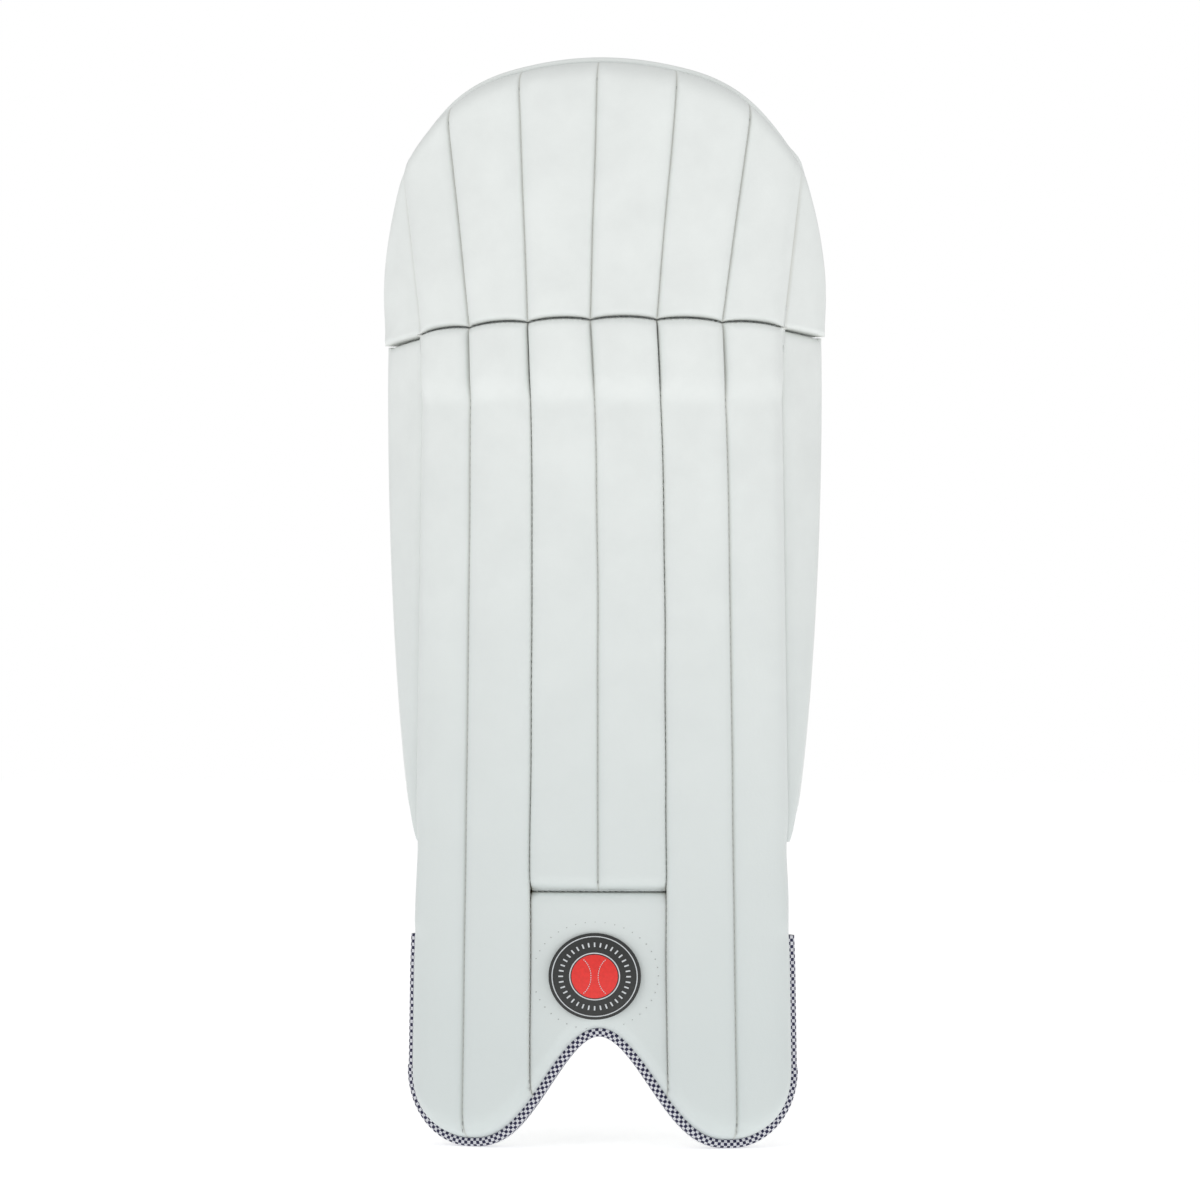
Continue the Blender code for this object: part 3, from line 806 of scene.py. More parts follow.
MAKERS = {
    "coated leather": lambda name: coated_leather(name, "leather", "leather_foot_shade"),
    "rim leather": lambda name: coated_leather(name, "leather"),
    "lining cloth": lambda name: woven_cloth(name, "lining", 0.9),
    "strap webbing": lambda name: woven_cloth(name, "webbing", 1.6, 0.7),
    "checked cotton tape": checked_tape,
    "loop tape": lambda name: napped_tape(name, "hook", 0.8),
    "hook tape": lambda name: napped_tape(name, "hook", 1.4),
    "polyester thread": lambda name: plain_finish(name, "thread", 0.7, 0.6, 0.1),
    "dark thread": lambda name: plain_finish(name, "dark_thread", 0.7, 0.6, 0.1),
    "bolster cloth": lambda name: plain_finish(name, "lining", 0.85, 0.9, 0.3),
    "badge rubber": lambda name: plain_finish(name, "badge_dark", 0.45, 1.5, 0.05),
    "badge red": lambda name: plain_finish(name, "badge_red", 0.42, 2.0, 0.08),
    "badge print": lambda name: plain_finish(name, "badge_pale", 0.5, 1.5, 0.03),
    "cell foam": lambda name: plain_finish(name, "foam", 0.95, 1.2, 0.3),
    "rattan cane": lambda name: plain_finish(name, "cane", 0.5, 3.0, 0.2),
}


def finish_of(name):
    """A material by name, made once."""
    return bpy.data.materials.get(name) or MAKERS[name](name)


def dress(piece, material, body, nodes=()):
    """Give a piece its material and body, and hide the frame's nodes that it stands for."""
    piece.data.materials.clear()
    piece.data.materials.append(finish_of(material))
    if body:
        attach(piece, body)
    if nodes:
        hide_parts(*nodes)
    return piece


def mark_seam_shade_and_dust(piece, seam_shade_and_dust_amounts):
    """Store how close each point is to a seam, for the grey painted there as the seams' shade and dust."""
    layer = piece.data.attributes.new("seam", "FLOAT", "POINT")
    layer.data.foreach_set("value", seam_shade_and_dust_amounts)


# Shin section


def crown_at(height):
    """Depth of a shin channel's top, with the short knee roll above its crease."""
    size = sizes()
    roll = ease((height - KNEE_ROLL_END + 4.0) / 20.0)
    crease = 1.3 * bell(height - KNEE_ROLL_END - 1.0, 5.5)
    return size.crown + size.roll * roll - crease


def free_edge(height):
    """Depth and rounding of the outer channel's side: under a wing, plain, or in the checked tape."""
    under_wing = ease((height - WING_TIP + 4.0) / 24.0)
    plain = ease((height - CHECK_START) / 6.0)
    depth = mix(mix(5.6, 1.4, plain), sizes().wing - 4.0, under_wing)
    return depth, mix(mix(16.0, 9.0, plain), sizes().round + 1.5, under_wing)


def shin_depth(index, height, low, high, low_radius):
    """Depth of the shin cover at a channel index and height, between its lower and upper ends."""
    size = sizes()
    crown = crown_at(height)
    gap = from_seam(index, height)
    part = part_of(index)
    seam, radius = size.seam, size.round
    if abs(index) > 2.5:
        seam, radius = free_edge(height)
    body = mix(seam, crown, quarter(gap, radius)) + 0.8 * (1.0 - (2.0 * part - 1.0) ** 2)
    top = mix(KNEE_SEAM_DEPTH, body, quarter(high - height, 4.5))
    return mix(6.2 if low < 120.0 else 12.0, top, quarter(height - low - 1.2, low_radius))


def shin_limits(index, stop):
    """Lower and upper ends of the shin cover on a channel line."""
    return stop or low_edge(straight_run(index, 20.0)), knee_line(index) - 0.5


def shin_point(index, height, low, high, low_radius, sink=0.0):
    """Point of the shin cover's surface, or of one sunk below it."""
    depth = shin_depth(index, height, low, high, low_radius)
    run = seam_run(index, height)
    spot = on_guard(run, height, 0.0)
    full = ease(from_seam(index, height) / 9.0)
    depth += 0.5 * full * ripple(spot, 46.0, 3.0)
    depth += 0.55 * bell(high - height - 2.0, 3.5) * ripple(spot, 2.6, 9.0)
    return on_guard(run, height, depth - sink)


def seam_shade_and_dust_grey(across, along):
    """Painted grey of seam shade and dust, at a distance across from a seam and along from a sewn end."""
    return max(0.55 * bell(across, 0.4), 0.35 * bell(along, 0.6))


def shin_cover(name, first, last, stop):
    """Padded cover of the shin channels between two seams."""
    columns = channel_columns(first, last, 20)
    rows = crowded_rows(KNEE_SEAM - (stop or OUTLINE_RISE), 5.0)
    low_radius = 7.0 if stop else 14.0
    seam_shade_and_dust_amounts = []
    pins = []

    def place(index, share):
        low, high = shin_limits(index, stop)
        height = mix(low, high, share)
        gap = from_seam(index, height)
        # Painted seam shade and dust, strongest in the seams and along the knee seam
        seam_shade_and_dust_amounts.append(seam_shade_and_dust_grey(gap, high - height))
        pins.append(limit(1.2 - min(gap / 6.0, (height - low) / 5.0, (high - height) / 5.0)))
        return shin_point(index, height, low, high, low_radius)

    def wrap(index, share):
        height = mix(*shin_limits(index, stop), share)
        return seam_run(index, height), height

    piece = sheet(name, columns, rows, place, wrap)
    mark_seam_shade_and_dust(piece, seam_shade_and_dust_amounts)
    run_cloth(piece, 3.0, 0.8, pins)
    thicken(piece, LEATHER)
    return piece


def shin_filler(number):
    """Foam filler of one shin channel, arched over its cane."""
    first = number - 4
    stop = INSTEP_TOP + 0.4 if number in (3, 4) else 0.0

    def place(part, share, side):
        index = first + part
        low, high = shin_limits(index, stop)
        low, high = low + 2.5, high - 1.5
        height = mix(low, high, share)
        base = CANE_ARCH if 0.3 < part < 0.7 else FOAM_BASE
        top = shin_depth(index, height, low - 2.5, high + 1.5, 7.0 if stop else 14.0) - FOAM_CLEARANCE
        return on_guard(seam_run(index, height), height, max(top, base + 0.3) if side else base)

    low_part, high_part = (0.22 if number == 1 else 0.05), (0.78 if number == 6 else 0.95)
    return block(f"shin_filler_{number}", foam_parts(low_part, high_part), spaced(48), place)


def foam_parts(low=0.05, high=0.95):
    """Places across a channel of a filler's columns, kept off its seams."""
    return [mix(low, high, t) for t in spaced(10)]


class LEGGUARD_OT_shin(bpy.types.Operator):
    """Padded shin covers with their foam, and the instep panel"""

    bl_idname = "legguard.shin"
    bl_label = "Shin covers"

    def execute(self, context):
        parts = {"left": (-3, -1, 0.0), "centre": (-1, 1, INSTEP_TOP + 0.4), "right": (1, 3, 0.0)}
        for name, (first, last, stop) in parts.items():
            piece = shin_cover(f"shin_cover_{name}", first, last, stop)
            dress(piece, "coated leather", "shin_section", [f"shin_facing_{name}"])
        for number in range(1, 7):
            filler = shin_filler(number)
            dress(filler, "cell foam", "shin_section", [f"shin_foam_{number}"])
        instep_cover()
        lines = [seam_stitches(index, 8.0, 474.0) for index in (-2, -1, 1, 2)]
        lines.append(seam_stitches(0, INSTEP_TOP + 4.0, 474.0))
        thread = stitches("shin_seam_thread", lines, 2.8, 0.32)
        dress(thread, "polyester thread", "shin_section")
        return {"FINISHED"}


def seam_stitches(index, low, high):
    """Points of a seam's stitches between two heights."""
    low = max(low, low_edge(straight_run(index, 20.0)) + 4.0)
    count = round((high - low) / sizes().stitch)
    heights = [mix(low, high, step / count) for step in range(count + 1)]
    depth = sizes().seam + 0.3
    return [on_guard(seam_run(index, height), height, depth) for height in heights]


def instep_depth(index, height, low, high):
    """Depth of the smooth instep panel."""
    size = sizes()
    side = (1.0 - abs(index)) * channel(height)
    full = size.instep + 1.6 * (1.0 - index**2)
    body = mix(size.seam - 1.0, full, ease(side / 9.0))
    body = mix(12.0, body, quarter(high - height, 7.0))
    return mix(6.2, body, quarter(height - low - 1.2, 13.0))


def instep_cover():
    """Smooth padded panel over the foot, with its lower edge round the notch, and its foam."""
    columns = [2.0 * t - 1.0 for t in spaced(40, 0.6)]
    high = INSTEP_TOP - 0.3
    seam_shade_and_dust_amounts = []

    def place(index, share):
        low = low_edge(straight_run(index, 40.0))
        height = mix(low, high, share)
        run = seam_run(index, height)
        spot = on_guard(run, height, 0.0)
        depth = instep_depth(index, height, low, high) + 0.35 * ripple(spot, 30.0, 5.0)
        depth += 0.5 * bell(high - height - 1.5, 3.0) * ripple(spot, 2.6, 9.0)
        # Painted seam shade and dust along the panel's sides and top
        seam_shade_and_dust_amounts.append(seam_shade_and_dust_grey((1.0 - abs(index)) * channel(height), high - height))
        return on_guard(run, height, depth)

    def wrap(index, share):
        height = mix(low_edge(straight_run(index, 40.0)), high, share)
        return seam_run(index, height), height

    def inside(index, share, side):
        low = low_edge(straight_run(index, 40.0)) + 2.5
        height = mix(low, high - 2.0, share)
        top = instep_depth(index, height, low - 2.5, high) - FOAM_CLEARANCE
        return on_guard(seam_run(index, height), height, max(top, FOAM_LOWEST) if side else FOAM_BASE)

    piece = sheet("instep_cover", columns, spaced(40, 0.6), place, wrap)
    mark_seam_shade_and_dust(piece, seam_shade_and_dust_amounts)
    thicken(piece, LEATHER)
    dress(piece, "coated leather", "shin_section", ["instep_facing"])
    filler = block("instep_filler", [mix(-0.94, 0.94, t) for t in spaced(24)], spaced(24), inside)
    dress(filler, "cell foam", "shin_section", ["instep_foam"])
    count = round(2.0 * channel(high) / 3.4)
    line = [instep_seam_point(mix(-0.97, 0.97, step / count), high) for step in range(count + 1)]
    thread = stitches("instep_seam_thread", [line], 2.2, 0.35)
    dress(thread, "polyester thread", "shin_section")


def instep_seam_point(index, height):
    """Point of the stitching along the instep panel's top."""
    return on_guard(seam_run(index, height), height + 0.4, 12.6)


# Side wings


def wing_spot(side, across, share):
    """Run, height and width of a wing at a place across it and up it."""
    height = mix(WING_TIP + 3.0, KNEE_SEAM, share)
    width = wing_width(min(height, WING_TOP))
    top = knee_line(side * (3.0 + across)) - 0.2
    height += (top - KNEE_SEAM) * ease(5.0 * share - 4.0)
    return edge_run(height) + mix(0.4, width, across), height, width


def wing_depth(side, across, share):
    """Depth of a wing's cover."""
    size = sizes()
    width = wing_spot(side, across, share)[2]
    inner = across * width
    outer = (1.0 - across) * width
    end = (1.0 - share) * (KNEE_SEAM - WING_TIP)
    body = mix(size.wing - 5.0, size.wing, quarter(inner, 9.0))
    body = mix(EDGE_DEPTH, body, quarter(outer, 12.0))
    return mix(EDGE_DEPTH, body, quarter(end, 6.0))


def wing_layers(name, side):
    """Padded cover, foam and back cloth of one side wing."""
    columns = spaced(18, 0.7)
    rows = spaced(70, 0.4) + [1.001]
    seam_shade_and_dust_amounts = []

    def turned(across):
        return across if side > 0 else 1.0 - across

    def place(across, share):
        across = turned(across)
        run, height, width = wing_spot(side, across, min(share, 1.0))
        depth = wing_depth(side, across, share) if share <= 1.0 else TURNED_UNDER
        spot = on_guard(side * run, height, 0.0)
        inside_both = ease(across * width / 10.0) * ease((1.0 - across) * width / 10.0)
        depth += 0.5 * inside_both * ripple(spot, 40.0, 11.0)
        # Painted seam shade and dust along the wing's inner seam, faded out below 240 mm
        seam_shade_and_dust_amounts.append(seam_shade_and_dust_grey(across * width, 99.0) * ease((height - 240.0) / 60.0))
        return on_guard(side * run, height, depth)

    def wrap(across, share):
        return wing_spot(side, turned(across), share)[:2]

    def inside(across, share, layer):
        across, share = mix(0.04, 0.9, across), mix(0.03, 0.98, share)
        run, height = wing_spot(side, across, share)[:2]
        top = wing_depth(side, across, share) - FOAM_CLEARANCE
        return on_guard(side * run, height, max(top, FOAM_LOWEST) if layer else FOAM_BASE)

    def back(across, share):
        run, height = wing_spot(side, turned(across), share)[:2]
        return on_guard(side * run, height, 0.4)

    body = f"wing_{name}"
    piece = sheet(f"wing_cover_{name}", columns, rows, place, wrap)
    mark_seam_shade_and_dust(piece, seam_shade_and_dust_amounts)
    thicken(piece, LEATHER)
    dress(piece, "coated leather", body, [f"wing_facing_{name}"])
    filler = block(f"wing_filler_{name}", spaced(8), spaced(30), inside)
    dress(filler, "cell foam", body, [f"wing_foam_{name}"])
    cloth = sheet(f"wing_back_{name}", spaced(8), spaced(40), back, wrap)
    line_back(cloth)
    dress(cloth, "lining cloth", body, [f"wing_lining_{name}"])


class LEGGUARD_OT_wings(bpy.types.Operator):
    """Side wing covers and their rolled rims"""

    bl_idname = "legguard.wings"
    bl_label = "Side wings"

    def execute(self, context):
        for name, side in SIDES.items():
            wing_layers(name, side)
            path = []
            for t in spaced(70, 0.4):
                run, height = wing_spot(side, 1.0, t)[:2]
                path.append((side * run, height))
            rim = edge_roll(f"wing_rim_{name}", path, side > 0, RIM_RADIUS, taper=8)
            dress(rim, "rim leather", f"wing_{name}", [f"wing_binding_{name}"])
        return {"FINISHED"}


# Knee flap


def knee_depth(index, height, low, high):
    """Depth of the knee cover."""
    size = sizes()
    part = part_of(index)
    if abs(index) < 3.0:
        gap = from_seam(index, height)
        seam = size.seam if abs(index) < 2.5 else size.wing
        body = mix(seam, size.knee_crown, quarter(gap, size.round + 1.0))
        body += 0.9 * (1.0 - (2.0 * part - 1.0) ** 2)
    else:
        width = DOME[-1][0] - edge_run(KNEE_SEAM)
        across = (abs(index) - 3.0) * width
        body = mix(size.wing, size.wing + 2.0, quarter(across, 10.0))
        body = mix(EDGE_DEPTH, body, quarter(width - across, 16.0))
    body = mix(EDGE_DEPTH, body, quarter(high - height, 13.0))
    return mix(KNEE_SEAM_DEPTH if abs(index) < 3.0 else EDGE_DEPTH + 1.0, body, quarter(height - low, 3.0))


def knee_limits(index):
    """Lower and upper ends of the knee cover on a channel line."""
    beyond = max(abs(index) - 3.0, 0.0)
    low = knee_line(index) + 0.1 + 0.5 * limit(beyond * 4.0 - 3.0) ** 2
    return low, max(dome_edge(index), low + 1.5)


def knee_cover():
    """Padded cover of the knee flap, with its side panels."""
    side_columns = spaced(14, 0.4)[1:-1]
    columns = [-3.985] + [-4.0 + t for t in side_columns]
    columns += channel_columns(-3, 3, 20)
    columns += [3.0 + t for t in side_columns] + [3.985]
    rows = crowded_rows(150.0, 3.6)
    seam_shade_and_dust_amounts = []
    pins = []

    def place(index, share):
        low, high = knee_limits(index)
        height = mix(low, high, share)
        depth = knee_depth(index, height, low, high)
        run = knee_run(index, height)
        spot = on_guard(run, height, 0.0)
        gap = from_seam(index, height) if abs(index) < 3.0 else (abs(index) - 3.0) * 44.0
        depth += 0.5 * ease(gap / 9.0) * ripple(spot, 50.0, 17.0)
        side = ease((586.0 - height) / 40.0) if abs(index) > 2.5 else 1.0
        # Painted seam shade and dust, faded out up the side seams of the flap
        seam_shade_and_dust_amounts.append(max(seam_shade_and_dust_grey(gap, 99.0) * side, seam_shade_and_dust_grey(99.0, height - low)))
        pins.append(limit(1.2 - min(gap / 6.0, (height - low) / 5.0, (high - height) / 5.0)))
        folded_under = share == 0.0 and abs(index) > 3.0
        return on_guard(run, height, TURNED_UNDER if folded_under else depth)

    def wrap(index, share):
        height = mix(*knee_limits(index), share)
        return knee_run(index, height), height

    piece = sheet("knee_cover", columns, rows, place, wrap)
    mark_seam_shade_and_dust(piece, seam_shade_and_dust_amounts)
    run_cloth(piece, 3.0, 0.8, pins)
    thicken(piece, LEATHER)
    return piece


def knee_filler(number):
    """Foam filler of one knee channel."""
    first = number - 4

    def place(part, share, side):
        index = first + part
        low, high = knee_limits(index)
        height = mix(low + 1.5, high - 3.0, share)
        top = knee_depth(index, height, low, high) - FOAM_CLEARANCE
        return on_guard(knee_run(index, height), height, max(top, FOAM_LOWEST) if side else FOAM_BASE)

    return block(f"knee_filler_{number}", foam_parts(), spaced(20, 0.5), place)


def knee_side_filler(name, side):
    """Foam filler of one of the knee flap's side panels."""

    def place(across, share, layer):
        index = side * mix(3.04, 3.76, across)
        low, high = knee_limits(index)
        height = mix(low + 2.5, high - 5.0, share)
        top = knee_depth(index, height, low, high) - FOAM_CLEARANCE
        return on_guard(knee_run(index, height), height, max(top, FOAM_LOWEST) if layer else FOAM_BASE)

    return block(f"knee_side_filler_{name}", spaced(8), spaced(14), place)


def knee_path():
    """Outline of the knee flap, up its left side, over the dome and down its right side, as (run, height)."""
    reach = DOME[-1][0]
    low_left, low_right = (knee_limits(index)[0] + 0.2 for index in (-4.0, 4.0))
    path = [(-reach, mix(low_left, KNEE_SEAM, t)) for t in spaced(5)[:-1]]
    for t in spaced(150):
        run = reach * math.sin(math.pi * (t - 0.5))
        path.append((run, KNEE_SEAM + through(DOME, abs(run))))
    return path + [(reach, mix(KNEE_SEAM, low_right, t)) for t in spaced(5)[1:]]


def knee_seam_line(lift, depth):
    """Points of the stitching along the knee seam, a channel at a time."""
    lines = []
    for first in range(-3, 3):
        count = round(channel(KNEE_SEAM) / 3.1)
        parts = [mix(0.03, 0.97, step / count) for step in range(count + 1)]
        lines.append([knee_seam_point(first + part, lift, depth) for part in parts])
    return lines


def knee_seam_point(index, lift, depth):
    """Point beside the knee seam at a channel index."""
    height = knee_line(index) + lift
    return on_guard(seam_run(index, height), height, depth)


class LEGGUARD_OT_knee(bpy.types.Operator):
    """Knee flap cover, its foam and rolled rim, and the flexible seam below it"""

    bl_idname = "legguard.knee"
    bl_label = "Knee flap"

    def execute(self, context):
        nodes = ["knee_facing", "knee_side_facing_left", "knee_side_facing_right"]
        dress(knee_cover(), "coated leather", "knee_flap", nodes)
        for number in range(1, 7):
            dress(knee_filler(number), "cell foam", "knee_flap", [f"knee_foam_{number}"])
        for name, side in SIDES.items():
            dress(knee_side_filler(name, side), "cell foam", "knee_flap", [f"knee_side_foam_{name}"])
        rim = edge_roll("knee_rim", knee_path(), False, RIM_RADIUS)
        dress(rim, "rim leather", "knee_flap", ["knee_binding"])
        thread = stitches("knee_seam_thread", knee_seam_line(-0.4, 18.4), 2.0, 0.36)
        dress(thread, "dark thread", "shin_section")
        lines = [knee_seam_stitches(index) for index in range(-2, 3)]
        thread = stitches("knee_channel_thread", lines, 2.8, 0.32)
        dress(thread, "polyester thread", "knee_flap")
        across = channel_columns(-3, 3, 6)
        self.gusset("knee_gusset", "facing_leather", (474.0, 495.0), across, (13.6, 13.6))
        self.gusset("knee_back_band", "lining_cloth", (468.0, 499.0), across, (-0.8, -0.8))
        for name, side in SIDES.items():
            columns = [side * (2.98 + 0.01 * t) for t in (0.0, 0.4, 0.8, 1.2, 1.6, 2.0)]
            self.gusset(f"knee_gusset_{name}", "facing_leather", (470.0, 497.0), columns, (-0.6, 13.4))
        return {"FINISHED"}

    def gusset(self, name, slot, heights, columns, depths):
        """Strip that crosses the flap's hinge. Its depth runs between two values."""

        def place(index, share):
            height = mix(*heights, share) + knee_fall(index) - KNEE_SEAM
            depth = mix(*depths, (index - columns[0]) / (columns[-1] - columns[0]))
            return on_guard(seam_run(index, height), height, depth)

        def wrap(index, share):
            height = mix(*heights, share)
            return seam_run(index, height), height

        piece = sheet(name, columns, spaced(16), place, wrap)
        wall = piece.modifiers.new("Wall", "SOLIDIFY")
        wall.thickness = CLOTH * MM
        wall.offset = 0.0
        dress(piece, "lining cloth" if slot == "lining_cloth" else "rim leather", "")
        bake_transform(piece)


def knee_seam_stitches(index):
    """Points of the stitches up one of the knee flap's seams."""
    low, high = knee_limits(index)
    low, high = low + 4.0, high - 9.0
    count = round((high - low) / sizes().stitch)
    heights = [mix(low, high, step / count) for step in range(count + 1)]
    return [on_guard(seam_run(index, height), height, sizes().seam + 0.3) for height in heights]


# Edge tapes


def edge_section(radius, front, back):
    """Section of a tape folded over an edge, as (outwards, depth) points."""
    middle = 0.5 * (front + back)
    half = 0.5 * (front - back)
    points = []
    for step in range(20):
        turn = 2.0 * math.pi * step / 20
        outward = math.copysign(abs(math.cos(turn)) ** 0.7, math.cos(turn)) * radius
        depth = math.copysign(abs(math.sin(turn)) ** 0.5, math.sin(turn)) * half
        points.append((outward, middle + depth))
    return points


def edge_roll(name, path, flip, radius, offset=1.0, front=None, taper=0):
    """Tape folded over an edge that follows a path of (run, height), narrower over its first stations."""
    section = edge_section(radius, front or EDGE_DEPTH + 0.9, -0.6)
    stations = []
    last = len(path) - 1
    for index, (run, height) in enumerate(path):
        before = path[max(index - 1, 0)]
        after = path[min(index + 1, last)]
        along = Vector((after[0] - before[0], after[1] - before[1])).normalized()
        outward = Vector((along.y, -along.x)) * (1.0 if flip else -1.0)
        full = mix(0.25, 1.0, ease(index / taper)) if taper else 1.0
        ring = [(offset * full + reach * full, mix(3.0, depth, full)) for reach, depth in section]
        stations.append([tape_point(run, height, outward, reach, depth) for reach, depth in ring])
    return tube(name, stations)


def tape_point(run, height, outward, reach, depth):
    """Point of a tape at a reach outwards from an edge."""
    return on_guard(run + reach * outward.x, max(height + reach * outward.y, 0.15), depth)


def lower_path():
    """Lower outline of the panels, from the left side to the right, as (run, height)."""
    half = [(LOBE_RUN * t, low_edge(LOBE_RUN * t)) for t in spaced(80)]
    for step in range(1, 41):
        turn = 0.5 * math.pi * step / 40
        run = LOBE_RUN + (edge_run(0.0) - LOBE_RUN) * math.sin(turn)
        half.append((run, CORNER_RADIUS * (1.0 - math.cos(turn)) + OUTLINE_RISE))
    start = half[-1][1]
    half += [(edge_run(height), height) for height in (mix(start, CHECK_START, t) for t in spaced(50)[1:])]
    return [(-run, height) for run, height in reversed(half[1:])] + half


class LEGGUARD_OT_tapes(bpy.types.Operator):
    """Checked tape round the lower edge"""

    bl_idname = "legguard.tapes"
    bl_label = "Checked tape"

    def execute(self, context):
        piece = edge_roll("checked_tape", lower_path(), True, 3.0, 1.2, 8.8)
        dress(piece, "checked cotton tape", "shin_section", ["checked_binding"])
        return {"FINISHED"}


# Back


# Bolsters: channel indices, heights, thickness and the body that each is sewn to
BOLSTERS = {
    "shin_bolster_left_pad": ((-1.75, -0.8), (120.0, 400.0), 20.0, "shin_section"),
    "shin_bolster_right_pad": ((0.8, 1.75), (120.0, 400.0), 20.0, "shin_section"),
    "knee_bolster_pad": ((-2.1, 2.1), (520.0, 580.0), 16.0, "knee_flap"),
}
BOLSTER_VOXEL = 3.4
BOLSTER_CORNER = 12.0
BOLSTER_SEAM = 0.4
BOLSTER_RIM = -4.5
BOLSTER_ROOM = 2.5


def line_back(piece):
    """Thickness of a back cloth."""
    wall = piece.modifiers.new("Wall", "SOLIDIFY")
    wall.thickness = CLOTH * MM
    wall.offset = 1.0


def back_sheet(name, columns, rows, place_run, limits):
    """Lining cloth with the dimples of the quilting seams."""

    def place(index, share):
        low, high = limits(index)
        height = mix(low, high, share)
        dimple = 0.8 * bell(from_seam(index, height), 2.5) if abs(index) < 3.0 else 0.0
        return on_guard(place_run(index, height), height, 0.2 + dimple)

    def wrap(index, share):
        height = mix(*limits(index), share)
        return place_run(index, height), height

    piece = sheet(name, columns, rows, place, wrap)
    line_back(piece)
    return piece


def bolster(name, indices, heights, thickness, body):
    """Stuffed pad on the lining: remeshed, blown up as cloth, and smoothed."""

    half = 0.5 * (indices[1] - indices[0]) * CHANNEL_AT_KNEE

    def place(u, v, side):
        height = mix(*heights, v)
        end = min(v, 1.0 - v) * (heights[1] - heights[0])
        narrow = 1.0 - BOLSTER_CORNER * (1.0 - quarter(end, BOLSTER_CORNER)) / half
        index = mix(*indices, 0.5 + (u - 0.5) * narrow)
        full = ((1.0 - (2.0 * u - 1.0) ** 4) * (1.0 - (2.0 * v - 1.0) ** 6)) ** 0.5
        depth = BOLSTER_SEAM if side else mix(BOLSTER_RIM, BOLSTER_ROOM - thickness, full)
        return on_guard(seam_run(index, height), height, depth)

    piece = block(name, spaced(16, 0.6), spaced(50, 0.8), place)
    fine = piece.modifiers.new("Fine", "REMESH")
    fine.mode = "VOXEL"
    fine.voxel_size = BOLSTER_VOXEL * MM
    with bpy.context.temp_override(object=piece, active_object=piece):
        bpy.ops.object.modifier_apply(modifier="Fine")
    pins = [1.0 if vert.co.y < front_of_bolster(vert.co) else 0.0 for vert in piece.data.vertices]
    run_cloth(piece, 4.0, 3.0, pins)
    smooth = piece.modifiers.new("Smooth", "SUBSURF")
    smooth.levels = smooth.render_levels = 1
    dress(piece, "bolster cloth", body, [name.replace("_pad", "")])


def front_of_bolster(point):
    """Farthest back that a bolster's sewn face lies."""
    return LINING_FRONT * MM + 0.0022 + (point.x**2) / 0.36


class LEGGUARD_OT_back(bpy.types.Operator):
    """Lining cloths of the shin and knee, and the bolsters on them"""

    bl_idname = "legguard.back"
    bl_label = "Back linings"

    def execute(self, context):
        piece = back_sheet(
            "shin_back",
            channel_columns(-3, 3, 10),
            spaced(90),
            seam_run,
            lambda index: shin_limits(index, 0.0),
        )
        dress(piece, "lining cloth", "shin_section", ["shin_lining"])
        side_columns = spaced(8)[1:-1]
        columns = [-3.98] + [-4.0 + t for t in side_columns] + channel_columns(-3, 3, 10)
        columns += [3.0 + t for t in side_columns] + [3.98]
        piece = back_sheet("knee_back", columns, spaced(36), knee_run, knee_limits)
        nodes = ["knee_lining", "knee_side_lining_left", "knee_side_lining_right"]
        dress(piece, "lining cloth", "knee_flap", nodes)
        for name, place in BOLSTERS.items():
            bolster(name, *place)
        return {"FINISHED"}


# Badge


BADGE_ACROSS = -1.8
BADGE_RADIUS = 27.0
BADGE_LINES = ((25.2, 24.6), (14.9, 14.2))
BALL_RADIUS = 13.6
BADGE_BEVEL = 0.15
TICKS = 36
NEEDLE_MARKS = 40


def disc(name, outer, inner, front, back, centre):
    """Flat ring or disc with a rounded rim, facing forwards."""
    mesh = bmesh.new()
    bmesh.ops.create_circle(mesh, cap_ends=True, segments=96, radius=outer * MM)
    if inner:
        bmesh.ops.inset_region(mesh, faces=mesh.faces[:], thickness=(outer - inner) * MM, use_boundary=True)
        middle = max(mesh.faces, key=lambda face: len(face.verts))
        bmesh.ops.delete(mesh, geom=[middle], context="FACES_ONLY")
    return badge_part(name, mesh, front, back, centre)


def badge_part(name, mesh, front, back, centre):
    """Give a flat outline its thickness, and stand it up on the guard's front."""
    grown = bmesh.ops.extrude_face_region(mesh, geom=mesh.faces[:])["geom"]
    raised = [item for item in grown if isinstance(item, bmesh.types.BMVert)]
    bmesh.ops.translate(mesh, verts=raised, vec=(0.0, 0.0, (back - front) * MM))
    bmesh.ops.recalc_face_normals(mesh, faces=mesh.faces[:])
    rim = [e for e in mesh.edges if e.verts[0].co.z > 1e-6 < e.verts[1].co.z and e.calc_face_angle(0.0) > 1.0]
    bmesh.ops.bevel(
        mesh, geom=rim, offset=BADGE_BEVEL * MM, segments=2, profile=0.5, affect="EDGES", material=-1,
        clamp_overlap=True,
    )
    bmesh.ops.scale(mesh, verts=mesh.verts[:], vec=(1.0, BADGE_SQUASH, 1.0))
    turn = Matrix.Rotation(math.radians(90.0), 4, "X")
    bmesh.ops.transform(mesh, matrix=turn, verts=mesh.verts[:])
    place = Vector((centre[0], back, centre[1])) * MM
    bmesh.ops.translate(mesh, verts=mesh.verts[:], vec=place)
    return finish_mesh(name, mesh)


def ticks(name, count, inner, outer, half, front, back, centre):
    """Ring of plain radial ticks."""
    mesh = bmesh.new()
    for number in range(count):
        turn = Matrix.Rotation(2.0 * math.pi * number / count, 4, "Z")
        size = Matrix.Diagonal((half * MM, 0.5 * (outer - inner) * MM, 1.0, 1.0))
        middle = Matrix.Translation((0.0, 0.5 * (outer + inner) * MM, 0.0))
        bmesh.ops.create_grid(mesh, x_segments=1, y_segments=1, size=1.0, matrix=turn @ middle @ size)
    return badge_part(name, mesh, front, back, centre)


